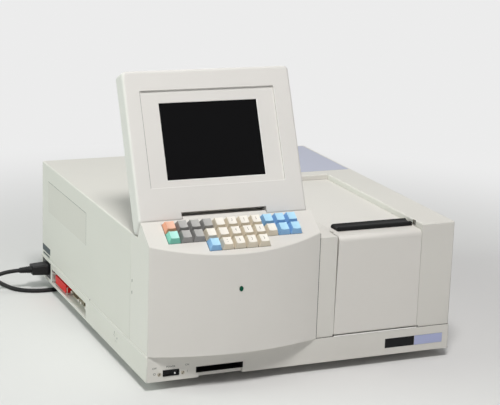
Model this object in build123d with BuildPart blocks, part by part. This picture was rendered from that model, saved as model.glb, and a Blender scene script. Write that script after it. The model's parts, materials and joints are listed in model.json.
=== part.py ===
from build123d import *
from math import acos, atan2, cos, degrees, pi, radians, sin, sqrt, tan
import os

# Bench-top spectrophotometer with a console, a tilting display and a sample compartment.
# Millimetres. X runs right, Y runs back, Z runs up. The origin is on the bench, under the
# middle of the casing.

os.makedirs("parts", exist_ok=True)

# Casing
width = 500.0
depth = 555.0
bulge = 23.0
foot_height = 15.0
base_height = 39.0
body_height = 205.0
wall = 3.0
cover_inset = 1.0
seam = 0.5
edge_round = 2.5
fit_gap = 0.3

front = (bulge - depth) / 2
rear = front + depth
left = -width / 2
right = width / 2
base_bottom = foot_height
base_top = base_bottom + base_height
base_floor = base_bottom + wall
deck = base_bottom + body_height
cover_bottom = base_top + seam
cover_left = left + cover_inset
cover_right = right - cover_inset
cover_front = front + cover_inset
cover_rear = rear - cover_inset

# Console
console_width = 269.5
console_depth = 78.0
lip_back = 39.0
lip_rise = 25.0
notch_back = 50.0
console_right = left + console_width
console_mid = left + console_width / 2
console_rear = front + console_depth
slope_angle = degrees(atan2(lip_rise, lip_back))

# Keys
key_pitch = 19.05
key_size = 18.2
key_top_x = 12.4
key_top_y = 13.4
key_height = 9.0
key_lift = -0.5
key_skin = 1.5
key_roof = 2.2
key_shift = 0.8
key_dish = 30.0
key_dish_depth = 0.7
key_left = 31.0
key_first_row = 21.0
key_gap = 0.7
board_drop = 12.0
board_thick = 1.6
switch_size = 13.4
switch_top = 9.6
switch_shoulder = 8.5
switch_neck = 5.0
board_margin = 10.0
board_shift = 1.0
plunger = 4.0
plunger_gap = 0.25
plunger_length = 13.8

# Display
tilt = 23.6
display_width = 265.0
display_length = 222.6
display_thick = 33.0
display_edge = 4.5
display_corner = 7.0
face_clear = 1.9
parting = 8.0
mask_thick = 2.5
hollow_low = 16.0
panel_margin = 6.0
panel_thick = 7.0
display_vent_down = 45.0
display_vent_pitch = 12.0
display_vent_count = 9
display_vent_tall = 36.0
display_vent_slot = 3.0
hinge_back = 60.0
hinge_rise = 11.5
hinge_round = 10.0
barrel_radius = 14.4
barrel_left = 66.2
barrel_right = 198.7
barrel_gap = 0.8
barrel_clear = 15.0
pedestal_half = 9.0
hinge_pin = 3.0
pin_reach = 20.0
pin_gap = 0.05
bezel_left = 24.0
bezel_right = 236.2
bezel_low = 47.9
bezel_high = 192.3
bezel_sink = 3.5
screen_left = 51.9
screen_right = 208.7
screen_low = 57.5
screen_high = 173.5
shell_wall = 2.5

# Sample compartment
pillar_width = 29.2
door_width = 143.5
lid_drop = 9.0
recess_length = 335.0
lid_ledge = 5.3
lid_thick = 4.0
strip_depth = 26.0
door_thick = 3.0
door_gap = 0.6
door_lean = 2.4
door_round = 8.0
grip_left = 311.0
grip_length = 128.0
grip_depth = 25.0
grip_height = 6.5
grip_scoop = 2.5
pintle = 3.0
pintle_reach = 2.4
hinge_inset = 7.0
door_foot = 1.2
door_foot_round = 2.9
door_sink = 0.8
flange_thick = 2.0
flange_depth = 18.0
ear_thick = 4.0
lid_tuck = 6.0
lip_deep = 5.0
lip_inset = 15.0
rail_height = 10.0
groove_depth = 6.0
runner_width = 3.0
runner_gap = 0.4
runner_inset = 3.9
runner_start = 12.0
rail_hold = 7.0
rail_reach = 4.0
chamber_wall = 2.5
chamber_back = 222.0
chamber_sill = 100.0
flange_out = 5.0
beam_height = 135.0
beam_hole = 10.0
cell_width = 12.8
cell_depth = 40.0
cell_front = 85.0
cell_pitch = 60.0
cell_block = 17.0
cell_half = 10.0
cell_beam_up = 15.0
holder_plate = 4.0
beam_slot = 5.0

# Inside
case_edge = 6.0
case_lid = 4.0
detector_card_x = 45.0
detector_card_y = 120.0
detector_card = (86.0, 80.0)
post_grid = (70.0, 60.0)
post_radius = 5.0
post_tall = 20.0
bench_thick = 10.0
bench_low = 42.0
mono_left = -60.0
mono_right = 150.0
mono_front = 240.0
mono_rear = 430.0
mono_tall = 100.0
detector_gap = 2.0
detector_deep = 22.0
detector_half = 20.0
detector_tall = 110.0
lamp_left = 160.0
lamp_right = 232.0
lamp_front = 300.0
lamp_rear = 430.0
lamp_tall = 90.0
fin_tall = 16.0
fin_thick = 2.5
fin_pitch = 9.0
fin_count = 7
supply_left = -215.0
supply_right = -125.0
supply_front = 400.0
supply_rear = 530.0
supply_foot = 8.0
core_side = 60.0
core_tall = 62.0
winding_long = 76.0
winding_wide = 36.0
winding_tall = 50.0
logic_left = -222.0
logic_right = -122.0
logic_front = 100.0
logic_rear = 380.0
standoff = 8.0
standoff_radius = 3.0
standoff_inset = 6.0
chip_grid = (26.0, 34.0)
chip_size = (14.0, 24.0)
chip_tall = 4.0

# Left side openings, measured back from the flat front and up from the base underside
port_front = 295.0
port_rear = 490.0
port_low = 3.0
port_high = 28.0
port_sink = 15.0
flange_plate = 1.5
port_flange_tall = 14.0
ribbon_mid = 443.0
ribbon_flange = 76.0
ribbon_shell = 56.0
ribbon_shell_tall = 11.0
ribbon_reach = 6.0
cap_length = 64.0
cap_tall = 15.0
cap_reach = 11.5
bail_out = 3.0
bail_mid = 35.5
bail_half = 6.0
bail_wire = 1.2
bail_long = 12.0
bail_splay = 35.0
bail_grip = 3.8
serial_wide_mid = 372.0
serial_small_mid = 322.0
serial_wide = (53.0, 39.0)
serial_small = (31.0, 17.0)
serial_tall = 8.4
serial_skin = 0.6
serial_slant = 1.6
serial_reach = 6.0
post_inset = 3.2
post_size = 2.8
post_bore = 1.3
post_long = 5.0
inlet_mid = 523.0
inlet_height = 20.5
inlet_width = 50.0
inlet_tall = 28.0
inlet_flange = 2.5
inlet_body = 44.0
inlet_body_tall = 24.0
inlet_deep = 20.0
inlet_cavity = 16.0
pin_spread = 7.0
pin_drop = 4.0
pin_size = (2.0, 4.0)
pin_slack = 0.3
pin_short = 3.0
plug_wide = 24.6
plug_tall = 16.4

# Power switch and card slot, set in the front of the base
switch_lap = 0.8
switch_proud = 0.8
switch_deep = 14.0
rocker_long = 19.2
rocker_tall = 6.0
rocker_play = 1.2
rocker_pivot = 4.0
rocker_swing = 8.0
rocker_rise = 1.2
rocker_dip = 1.6
rocker_back = 5.0
rocker_pin = 1.2
rocker_pin_long = 1.5
slot_deep = 70.0
slot_lip = 1.5
slot_lead = 6.0
card_wide = 68.0
card_tall = 5.4
lamp_proud = 0.8

# Mains lead
plug_gap = 0.5
plug_body = 27.0
plug_body_wide = 27.0
plug_body_tall = 19.0
relief_long = 21.0
relief_radius = 6.0
relief_wall = 0.8
plug_corner = 4.0
cord_diameter = 7.0
coil_radius = 36.0
coil_wide = 3
coil_high = 2
coil_left = 135.0
coil_behind = 60.0
coil_tail = 32.0
wall_plug_long = 34.0
wall_plug_wide = 27.0
wall_plug_tall = 21.2
wall_relief = 26.0
blade_spread = 6.35
blade_rise = 2.0
blade_size = (1.5, 6.3)
blade_long = 17.0
earth_drop = 5.0
earth_radius = 2.4

door_left = console_right + pillar_width
door_right = door_left + door_width
hinge_door_y = front + hinge_inset
hinge_door_z = cover_bottom + hinge_inset
lid_level = deck - lid_drop
lid_left = door_left + lid_ledge
lid_right = door_right - fit_gap
recess_rear = front + recess_length
hinge_y = front + hinge_back
hinge_z = deck + hinge_rise
face_out = display_thick - hinge_round

slope = Plane(
    origin=(left, front, deck),
    x_dir=(1, 0, 0),
    z_dir=(0, -sin(radians(slope_angle)), cos(radians(slope_angle))),
)


def side_plane(x):
    """Plane across the instrument: its x is world Y, its y is world Z."""
    return Plane(origin=(x, 0, 0), x_dir=(0, 1, 0), z_dir=(1, 0, 0))


def back_plane(y):
    """Upright plane seen from the front: its x is world X, its y is world Z."""
    return Plane(origin=(0, y, 0), x_dir=(1, 0, 0), z_dir=(0, -1, 0))


def finish(builder, label):
    builder.part.label = label
    export_step(builder.part, f"parts/{label}.step")


def box_between(low, high, mode=Mode.ADD):
    """Box between two corners, for use inside a part."""
    size = [high[i] - low[i] for i in range(3)]
    middle = [(high[i] + low[i]) / 2 for i in range(3)]
    with Locations(tuple(middle)):
        Box(*size, mode=mode)


# Base pan: a moulded tray with bosses, pockets for the sockets and a raised rim for the cover
boss_radius = 9.0
rim_height = 5.0
rim_thick = 2.0
bench_left = -110.0
bench_right = 236.0
bench_front = front + 34.0
bench_rear = rear - 30.0
bench_boss_inset = 22.0
foot_radius = 15.0
foot_inset_x = 62.0
foot_inset_y = 90.0
foot_pin = 3.0
foot_pin_up = 2.8
switch_left = 25.3
switch_right = 50.6
switch_low = 7.4
switch_high = 16.8
slot_left = 76.8
slot_right = 151.6
slot_low = 7.2
slot_high = 16.6
well_left = 81.0
well_right = 150.6
well_sink = 6.0
badge_left = 388.0
badge_right = 488.6
badge_low = 10.5
badge_high = 26.1
badge_sink = 0.8
beeper_y = 141.0
beeper_z = 22.0
beeper_ring = 7.0
beeper_hole = 1.2

foot_spots = [
    (left + foot_inset_x, front + foot_inset_y),
    (right - foot_inset_x, front + foot_inset_y),
    (left + foot_inset_x, rear - foot_inset_y),
    (right - foot_inset_x, rear - foot_inset_y),
]
bench_bosses = [
    (bench_left + bench_boss_inset, bench_front + bench_boss_inset),
    (bench_right - bench_boss_inset, bench_front + bench_boss_inset),
    (bench_left + bench_boss_inset, bench_rear - bench_boss_inset),
    (bench_right - bench_boss_inset, bench_rear - bench_boss_inset),
]
rim_out = cover_inset + wall + fit_gap

with BuildPart() as base_pan:
    with BuildSketch(Plane.XY.offset(base_bottom)):
        with Locations((0, (front + rear) / 2)):
            Rectangle(width, depth)
    extrude(amount=base_height)
    fillet(base_pan.edges().filter_by(Axis.Z), edge_round)
    fillet(base_pan.faces().sort_by(Axis.Z)[-1].edges(), edge_round / 2)
    with BuildSketch(Plane.XY.offset(base_floor)):
        with Locations((0, (front + rear) / 2)):
            Rectangle(width - 2 * wall, depth - 2 * wall)
    extrude(amount=base_height, mode=Mode.SUBTRACT)
    # raised rim inside the cover's walls
    with BuildSketch(Plane.XY.offset(base_floor)):
        with Locations((0, (front + rear) / 2)):
            Rectangle(width - 2 * wall, depth - 2 * wall)
            Rectangle(width - 2 * rim_out - 2 * rim_thick, depth - 2 * rim_out - 2 * rim_thick,
                      mode=Mode.SUBTRACT)
    extrude(amount=base_height - wall)
    with BuildSketch(Plane.XY.offset(base_top)):
        with Locations((0, (front + rear) / 2)):
            Rectangle(width - 2 * rim_out, depth - 2 * rim_out)
            Rectangle(width - 2 * rim_out - 2 * rim_thick, depth - 2 * rim_out - 2 * rim_thick,
                      mode=Mode.SUBTRACT)
        # the door swings through the rim in front of the sample compartment
        with Locations(((door_left + door_right) / 2, front)):
            Rectangle(door_width + 2 * (wall + fit_gap), 2 * strip_depth, mode=Mode.SUBTRACT)
        # and the walls between console and cover pass through it
        with Locations((console_right + seam / 2, front)):
            Rectangle(2 * (wall + fit_gap) + seam, 2 * strip_depth, mode=Mode.SUBTRACT)
    extrude(amount=rim_height)
    with BuildSketch(Plane.XY.offset(base_floor)):
        with Locations(*bench_bosses):
            Circle(boss_radius)
    extrude(amount=bench_low - base_floor)
    # pocket behind the connectors, open to the left
    box_between((left + wall - 1, front + port_front - wall, base_floor - 1),
                (left + port_sink + wall, front + port_rear + wall, base_bottom + port_high + wall))
    box_between((left - 1, front + port_front, base_bottom + port_low),
                (left + port_sink, front + port_rear, base_bottom + port_high), Mode.SUBTRACT)
    # mains inlet opening
    box_between((left - 1, front + inlet_mid - inlet_width / 2,
                 base_bottom + inlet_height - inlet_tall / 2),
                (left + inlet_flange, front + inlet_mid + inlet_width / 2,
                 base_bottom + inlet_height + inlet_tall / 2), Mode.SUBTRACT)
    box_between((left - 1, front + inlet_mid - inlet_body / 2 - fit_gap,
                 base_bottom + inlet_height - inlet_body_tall / 2 - fit_gap),
                (left + rim_out + rim_thick + 1, front + inlet_mid + inlet_body / 2 + fit_gap,
                 base_bottom + inlet_height + inlet_body_tall / 2 + fit_gap), Mode.SUBTRACT)
    # power switch opening, card slot and its finger well, badge recess
    box_between((left + switch_left + switch_lap, front - 1, base_bottom + switch_low + switch_lap),
                (left + switch_right - switch_lap, front + rim_out + rim_thick + 1,
                 base_bottom + switch_high - switch_lap), Mode.SUBTRACT)
    box_between((left + slot_left, front - 1, base_bottom + slot_low),
                (left + slot_right, front + rim_out + rim_thick + 1, base_bottom + slot_high),
                Mode.SUBTRACT)
    box_between((left + well_left, front - 1, base_bottom - 1),
                (left + well_right, front + well_sink, base_bottom + slot_low + 1), Mode.SUBTRACT)
    box_between((left + well_left - 1, front + well_sink, base_bottom),
                (left + well_right + 1, front + well_sink + 2, base_bottom + slot_low))
    box_between((left + badge_left, front - 1, base_bottom + badge_low),
                (left + badge_right, front + badge_sink, base_bottom + badge_high), Mode.SUBTRACT)
    # ring of sound holes in the left wall
    with BuildSketch(side_plane(left - 1)):
        with Locations((front + beeper_y, base_bottom + beeper_z)):
            with PolarLocations(beeper_ring, 6):
                Circle(beeper_hole)
    extrude(amount=wall + rim_out + rim_thick + 1, mode=Mode.SUBTRACT)
    # holes for the feet
    with BuildSketch(Plane.XY.offset(base_bottom - 1)):
        with Locations(*foot_spots):
            Circle(foot_pin + pin_gap)
    extrude(amount=wall + 2, mode=Mode.SUBTRACT)
finish(base_pan, "base_pan")

# Four rubber feet, pressed into the floor of the pan
with BuildPart() as feet:
    with BuildSketch():
        with Locations(*foot_spots):
            Circle(foot_radius)
    extrude(amount=foot_height, taper=4)
    with BuildSketch(Plane.XY.offset(foot_height)):
        with Locations(*foot_spots):
            Circle(foot_pin)
    extrude(amount=foot_pin_up)
finish(feet, "feet")


# Main cover: one moulded shell with the lid's recess and the front pillars
def cover_plan(inset, opening):
    """Corners of the cover's plan, inset by a wall and open towards the console."""
    side_front = console_rear + seam - opening
    return [
        (console_right + seam - opening, cover_front + inset),
        (cover_right - inset, cover_front + inset),
        (cover_right - inset, cover_rear - inset),
        (cover_left + inset, cover_rear - inset),
        (cover_left + inset, side_front),
        (console_right + seam - opening, side_front),
    ]


vent_count = 9
vent_pitch = 9.0
vent_slot = 4.0
vent_tall = 60.0
vent_mid_z = 130.0
vent_mid_x = 190.0
side_panel_front = 299.0
side_panel_split = 435.0
side_panel_rear = 517.0
side_panel_low = 133.0
side_panel_high = 176.5
side_panel_sink = 0.8
side_panel_rib = 1.2
return_depth = 30.0
cover_void_top = lid_level - wall
recess_left = console_right - 1
passage_left = lid_left - fit_gap

with BuildPart() as main_cover:
    with BuildSketch(Plane.XY.offset(cover_bottom)):
        with BuildLine():
            Polyline(*cover_plan(0, 0), close=True)
        make_face()
    extrude(amount=deck - cover_bottom)
    fillet(main_cover.edges().filter_by(Axis.Z).filter_by(
        lambda e: abs(e.center().X) > right - 5), edge_round)
    # the recess for the lid is open to the console and to the front
    box_between((recess_left, front - 1, lid_level), (door_right, recess_rear, deck + 1), Mode.SUBTRACT)
    fillet(main_cover.faces().filter_by(Axis.Z).filter_by(
        lambda f: abs(f.center().Z - deck) < 0.01).edges(), edge_round * 0.9)
    # inside, below the level of the lid
    with BuildSketch(Plane.XY.offset(cover_bottom - 1)):
        with BuildLine():
            Polyline(*cover_plan(wall, 1), close=True)
        make_face()
        with Locations(((door_left + door_right) / 2, front)):
            Rectangle(door_width + 2 * wall, 2 * return_depth, mode=Mode.SUBTRACT)
    extrude(amount=cover_void_top - cover_bottom + 1, mode=Mode.SUBTRACT)
    # inside, above the level of the lid
    with BuildSketch(Plane.XY.offset(cover_void_top - 0.01)):
        with BuildLine():
            Polyline(*cover_plan(wall, 1), close=True)
        make_face()
        with Locations(((console_right + door_right) / 2, (front + recess_rear) / 2)):
            Rectangle(door_right - console_right + 2 * wall, recess_rear - front + 2 * wall,
                      mode=Mode.SUBTRACT)
    extrude(amount=deck - wall - cover_void_top, mode=Mode.SUBTRACT)
    # doorway, lid opening and the slot in which the lid slides under the deck
    box_between((door_left, front - 1, cover_bottom - 1), (door_right, front + return_depth + 1, deck + 1),
                Mode.SUBTRACT)
    box_between((passage_left, front - 1, cover_void_top - 1), (door_right, recess_rear, deck + 1),
                Mode.SUBTRACT)
    box_between((passage_left, recess_rear - 1, cover_void_top - 1),
                (door_right, recess_rear + wall + 1, lid_level + fit_gap), Mode.SUBTRACT)
    # bores for the door's pintles
    with BuildSketch(side_plane(door_left - wall - 1)):
        with Locations((hinge_door_y, hinge_door_z)):
            Circle(pintle + pin_gap)
    extrude(amount=door_width + 2 * wall + 2, mode=Mode.SUBTRACT)
    # shallow panel on the left side, in two parts
    for low_y, high_y in ((side_panel_front, side_panel_split - side_panel_rib / 2),
                          (side_panel_split + side_panel_rib / 2, side_panel_rear)):
        box_between((left, front + low_y, base_bottom + side_panel_low),
                    (cover_left + side_panel_sink, front + high_y, base_bottom + side_panel_high),
                    Mode.SUBTRACT)
    # cooling slots behind the lamps
    with BuildSketch(back_plane(cover_rear + 1)):
        with Locations((vent_mid_x, vent_mid_z)):
            with GridLocations(vent_pitch, vent_tall, vent_count, 1):
                SlotOverall(vent_tall, vent_slot, rotation=90)
    extrude(amount=wall + 2, mode=Mode.SUBTRACT)
finish(main_cover, "main_cover")


# Console: a moulded hood whose front is an arc, with a sloped key deck and a rear lip
console_chord = console_width - cover_inset
console_arc = (console_chord ** 2 / 4 + bulge ** 2) / (2 * bulge)
arc_mid = ((cover_left + console_right) / 2, front - bulge + console_arc)


def console_form(inset, skirt):
    """Solid form of the console, inset by a wall and stretched below and behind by a skirt."""
    ahead = front - bulge - wall
    reach = bulge + console_depth + skirt
    with BuildPart() as form:
        with BuildSketch(side_plane(cover_left + inset)):
            with BuildLine():
                Polyline(
                    (ahead, cover_bottom - skirt - inset),
                    (console_rear + skirt + inset, cover_bottom - skirt - inset),
                    (console_rear + skirt + inset, deck),
                    (front + notch_back, deck),
                    (front + lip_back, deck + lip_rise),
                    (ahead, deck - (front - ahead) * lip_rise / lip_back),
                    close=True,
                )
            make_face()
            if inset > 0:
                offset(amount=-inset, kind=Kind.INTERSECTION, mode=Mode.REPLACE)
        extrude(amount=console_right - cover_left - 2 * inset)
        with BuildSketch(Plane.XY.offset(cover_bottom - skirt - 1)):
            with Locations((arc_mid[0], front - bulge + reach / 2)):
                Rectangle(console_chord, reach)
            with Locations(arc_mid):
                Circle(console_arc - inset, mode=Mode.INTERSECT)
        extrude(amount=deck + lip_rise + skirt, mode=Mode.INTERSECT)
    return form.part


def key_spot(column, row):
    """Middle of a key on the slope, measured from the slope's origin."""
    return (key_left + key_pitch * (column + 0.5), key_first_row - key_pitch * (row - 0.5))


led_height = 138.0
led_x = 135.0
led_wide = 6.2
led_tall = 7.8
key_columns = 11
short_first = 3
short_count = 5
keys_mid = key_left + key_pitch * key_columns / 2
short_mid = key_left + key_pitch * (short_first + short_count / 2)
short_row = key_first_row - key_pitch * 1.5
opening_deep = 15.0
lamp_fit = 0.1
console_outer = console_form(0, 0)
console_inner = console_form(wall, wall)
keys = [(column, 0) for column in range(key_columns)]
keys += [(column, 1) for column in range(key_columns)]
keys += [(column, 2) for column in range(short_first, short_first + short_count)]

with BuildPart() as console_housing:
    add(console_outer)
    fillet(console_housing.edges().filter_by(GeomType.ELLIPSE), edge_round)
    add(console_inner, mode=Mode.SUBTRACT)
    # shelf under the bulge
    with BuildSketch(Plane.XY.offset(cover_bottom)):
        with Locations((console_mid, front + (wall - bulge) / 2)):
            Rectangle(console_width - 2 * wall, bulge + wall)
        with Locations(arc_mid):
            Circle(console_arc - wall / 2, mode=Mode.INTERSECT)
    extrude(amount=wall)
    # opening for the keys, one row band and one short band
    with BuildSketch(slope.offset(wall)):
        with Locations((keys_mid, key_first_row)):
            Rectangle(key_columns * key_pitch + key_gap, 2 * key_pitch + key_gap)
        with Locations((short_mid, short_row)):
            Rectangle(short_count * key_pitch + key_gap, key_pitch + key_gap)
    extrude(amount=-opening_deep, mode=Mode.SUBTRACT)
    # hole for the lamp in the middle of the bulge
    with BuildSketch(back_plane(front - bulge - 2)):
        with Locations((left + led_x, base_bottom + led_height)):
            Ellipse(led_wide / 2 + lamp_fit, led_tall / 2 + lamp_fit)
    extrude(amount=-2 * wall, mode=Mode.SUBTRACT)
finish(console_housing, "console_housing")

# Key board: a plate under the slope with one switch housing for each key
with BuildPart() as key_board:
    with BuildSketch(slope.offset(-board_drop)):
        with Locations((keys_mid, key_first_row - board_shift)):
            Rectangle(key_columns * key_pitch + 2 * board_margin, 2 * key_pitch)
        with Locations((short_mid, short_row)):
            Rectangle(short_count * key_pitch, key_pitch)
    extrude(amount=-board_thick)
    with BuildSketch(slope.offset(-board_drop)):
        with Locations(*[key_spot(*key) for key in keys]):
            Rectangle(switch_size, switch_size)
    extrude(amount=switch_shoulder)
    with BuildSketch(slope.offset(switch_shoulder - board_drop)):
        with Locations(*[key_spot(*key) for key in keys]):
            Rectangle(switch_top, switch_top)
    extrude(amount=switch_neck)
    with BuildSketch(slope.offset(switch_shoulder + switch_neck - board_drop)):
        with Locations(*[key_spot(*key) for key in keys]):
            Rectangle(plunger + 2 * plunger_gap, plunger + 2 * plunger_gap)
    extrude(amount=-(switch_shoulder + switch_neck), mode=Mode.SUBTRACT)
finish(key_board, "key_board")

# Key caps: sculpted hollow caps with a dished top, each on a square plunger
cap_base = slope.offset(key_lift)
cap_ceiling = key_height - key_roof
for number, (column, row) in enumerate(keys, start=1):
    spot = key_spot(column, row)
    with BuildPart() as key_cap:
        with BuildSketch(cap_base):
            with Locations(spot):
                Rectangle(key_size, key_size)
        with BuildSketch(cap_base.offset(key_height)):
            with Locations((spot[0], spot[1] + key_shift)):
                Rectangle(key_top_x, key_top_y)
        loft()
        with BuildSketch(cap_base):
            with Locations(spot):
                Rectangle(key_size - 2 * key_skin, key_size - 2 * key_skin)
        with BuildSketch(cap_base.offset(cap_ceiling)):
            with Locations((spot[0], spot[1] + key_shift)):
                Rectangle(key_top_x - 2 * key_skin, key_top_y - 2 * key_skin)
        loft(mode=Mode.SUBTRACT)
        # dish across the top, its axis running up the slope
        dish_plane = Plane(
            origin=slope.from_local_coords((spot[0], spot[1] - key_size, 0)),
            x_dir=slope.x_dir,
            z_dir=slope.y_dir,
        )
        with BuildSketch(dish_plane):
            with Locations((0, -(key_lift + key_height + key_dish - key_dish_depth))):
                Circle(key_dish)
        extrude(amount=2 * key_size, mode=Mode.SUBTRACT)
        with BuildSketch(cap_base.offset(cap_ceiling + 0.2)):
            with Locations(spot):
                Rectangle(plunger, plunger)
        extrude(amount=-plunger_length)
    finish(key_cap, f"key_{number:02d}")

# Display: a tilting panel with a rounded foot that turns on two stub pins
display_side = Plane(
    origin=(left, hinge_y, hinge_z),
    x_dir=(0, sin(radians(tilt)), cos(radians(tilt))),
    z_dir=(1, 0, 0),
)
lip_point = display_side.to_local_coords(Vector(left, front + lip_back + face_clear, deck + lip_rise))
heel = (lip_point.X, face_out)
display_top = lip_point.X + display_length
heel_angle = atan2(heel[1], heel[0])
touch_angle = heel_angle + acos(hinge_round / sqrt(heel[0] ** 2 + heel[1] ** 2))
half_angle = (touch_angle + 1.5 * pi) / 2
toe = (hinge_round * cos(touch_angle), hinge_round * sin(touch_angle))
toe_mid = (hinge_round * cos(half_angle), hinge_round * sin(half_angle))

with BuildPart() as display_form:
    with BuildSketch(display_side):
        with BuildLine():
            ThreePointArc((0, -hinge_round), toe_mid, toe)
            Polyline(toe, heel, (display_top, face_out), (display_top, -hinge_round), (0, -hinge_round))
        make_face()
    extrude(amount=display_width)
    corners = display_form.edges().filter_by(
        lambda e: abs(display_side.to_local_coords(e.center()).X - display_top) < 0.01
        and e.length < display_thick + 1)
    fillet(corners, display_corner)
    brow = display_form.edges().filter_by(
        lambda e: display_side.to_local_coords(e.center()).X > heel[0] + 1
        and abs(display_side.to_local_coords(e.center()).Y - face_out) < 0.01)
    fillet(brow, display_edge)
    tail = display_form.edges().filter_by(
        lambda e: display_side.to_local_coords(e.center()).X > 1
        and abs(display_side.to_local_coords(e.center()).Y + hinge_round) < 0.01)
    fillet(tail, display_edge)
    # notch for the hinge barrel
    with BuildSketch(display_side.offset(barrel_left - barrel_gap)):
        with Locations((barrel_clear / 2 - hinge_round, (face_out - hinge_round) / 2)):
            Rectangle(barrel_clear + 2 * hinge_round, display_thick + 2)
    extrude(amount=barrel_right - barrel_left + 2 * barrel_gap, mode=Mode.SUBTRACT)
    # bores for the stub pins
    with BuildSketch(display_side.offset(barrel_left - pin_reach - 1)):
        Circle(hinge_pin + pin_gap)
    extrude(amount=barrel_right - barrel_left + 2 * pin_reach + 2, mode=Mode.SUBTRACT)


def display_sketch(depth_out):
    """Plane level with the display's face, its y up the face from the lip."""
    return Plane(
        origin=display_side.from_local_coords((lip_point.X, depth_out, 0)),
        x_dir=(1, 0, 0),
        z_dir=(0, -cos(radians(tilt)), sin(radians(tilt))),
    )


screen_mid = ((screen_left + screen_right) / 2, (screen_low + screen_high) / 2)
bezel_mid = ((bezel_left + bezel_right) / 2, (bezel_low + bezel_high) / 2)
hollow_mid = (display_width / 2, (hollow_low + display_length - shell_wall - display_edge) / 2)
hollow_size = (display_width - 2 * (shell_wall + display_edge / 2),
               display_length - shell_wall - display_edge - hollow_low)
mask_back = face_out - bezel_sink - mask_thick

with BuildPart() as display_front:
    add(display_form.part)
    split(bisect_by=display_sketch(parting), keep=Keep.TOP)
    with BuildSketch(display_sketch(parting)):
        with Locations(hollow_mid):
            Rectangle(*hollow_size)
    extrude(amount=mask_back - parting, mode=Mode.SUBTRACT)
    with BuildSketch(display_sketch(face_out + 1)):
        with Locations(bezel_mid):
            RectangleRounded(bezel_right - bezel_left, bezel_high - bezel_low, 2)
    extrude(amount=-(bezel_sink + 1), mode=Mode.SUBTRACT)
    with BuildSketch(display_sketch(face_out + 1)):
        with Locations(screen_mid):
            Rectangle(screen_right - screen_left, screen_high - screen_low)
    extrude(amount=-display_thick, mode=Mode.SUBTRACT)
finish(display_front, "display_front")

with BuildPart() as display_back:
    add(display_form.part)
    split(bisect_by=display_sketch(parting), keep=Keep.BOTTOM)
    with BuildSketch(display_sketch(parting)):
        with Locations(hollow_mid):
            Rectangle(*hollow_size)
    extrude(amount=-(parting + hinge_round - shell_wall), mode=Mode.SUBTRACT)
    with BuildSketch(display_sketch(-hinge_round - 1)):
        with Locations((display_width / 2, display_length - display_vent_down)):
            with GridLocations(display_vent_pitch, 1, display_vent_count, 1):
                SlotOverall(display_vent_tall, display_vent_slot, rotation=90)
    extrude(amount=shell_wall + 2, mode=Mode.SUBTRACT)
finish(display_back, "display_back")

with BuildPart() as lcd_panel:
    with BuildSketch(display_sketch(mask_back)):
        with Locations(screen_mid):
            Rectangle(screen_right - screen_left + 2 * panel_margin,
                      screen_high - screen_low + 2 * panel_margin)
    extrude(amount=-panel_thick)
    with BuildSketch(display_sketch(mask_back - panel_thick)):
        with Locations(screen_mid):
            Rectangle(screen_right - screen_left, screen_high - screen_low)
    extrude(amount=-(mask_back - panel_thick + hinge_round - shell_wall))
finish(lcd_panel, "lcd_panel")

# Hinge block: a barrel on the console's rear ledge, with the two stub pins
with BuildPart() as hinge_block:
    with BuildSketch(side_plane(left + barrel_left)):
        with Locations((hinge_y, hinge_z)):
            Circle(barrel_radius)
        with Locations((hinge_y, (deck + hinge_z) / 2)):
            Rectangle(2 * pedestal_half, hinge_rise)
        with BuildLine():
            Polyline(
                (front + notch_back + fit_gap, deck),
                (front + lip_back + fit_gap, deck + lip_rise),
                (front + lip_back + fit_gap, hinge_z + 2 * barrel_radius),
                (hinge_y + 2 * barrel_radius, hinge_z + 2 * barrel_radius),
                (hinge_y + 2 * barrel_radius, deck),
                close=True,
            )
        make_face(mode=Mode.INTERSECT)
    extrude(amount=barrel_right - barrel_left)
    with BuildSketch(side_plane(left + barrel_left - pin_reach)):
        with Locations((hinge_y, hinge_z)):
            Circle(hinge_pin)
    extrude(amount=barrel_right - barrel_left + 2 * pin_reach)
finish(hinge_block, "hinge_block")

# Sample lid: a flat sliding panel with two runners and a stiffening lip
lid_front = front + strip_depth + fit_gap
lid_rear = recess_rear + lid_tuck
lid_under = lid_level - lid_thick
rail_top = lid_under - runner_gap
runner_left = lid_left + runner_inset
runner_right = lid_right - runner_inset

with BuildPart() as sample_lid:
    box_between((lid_left, lid_front, lid_under), (lid_right, lid_rear, lid_level))
    fillet(sample_lid.faces().sort_by(Axis.Z)[-1].edges(), 0.8)
    for runner in (runner_left, runner_right):
        box_between((runner - runner_width / 2, lid_front + runner_start,
                     rail_top - groove_depth + runner_gap),
                    (runner + runner_width / 2, lid_rear - runner_start, lid_under))
    box_between((lid_left + lip_inset, lid_front, lid_under - lip_deep),
                (lid_right - lip_inset, lid_front + wall, lid_under))
finish(sample_lid, "sample_lid")

with BuildPart() as lid_grip:
    with BuildSketch(side_plane(left + grip_left)):
        with BuildLine():
            Polyline((lid_front, lid_level), (lid_front + 0.8, lid_level + grip_height - 1.2),
                     (lid_front + 3, lid_level + grip_height))
            ThreePointArc((lid_front + 3, lid_level + grip_height),
                          (lid_front + grip_depth / 2, lid_level + grip_height - grip_scoop),
                          (lid_front + grip_depth - 3, lid_level + grip_height))
            Polyline((lid_front + grip_depth - 3, lid_level + grip_height),
                     (lid_front + grip_depth, lid_level + grip_height - 2),
                     (lid_front + grip_depth, lid_level), (lid_front, lid_level))
        make_face()
    extrude(amount=grip_length)
    ends = lid_grip.faces().filter_by(Axis.X)
    chamfer(ends.edges().filter_by(lambda e: e.center().Z > lid_level + grip_height / 2 - 1), 1.5)
finish(lid_grip, "lid_grip")

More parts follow.
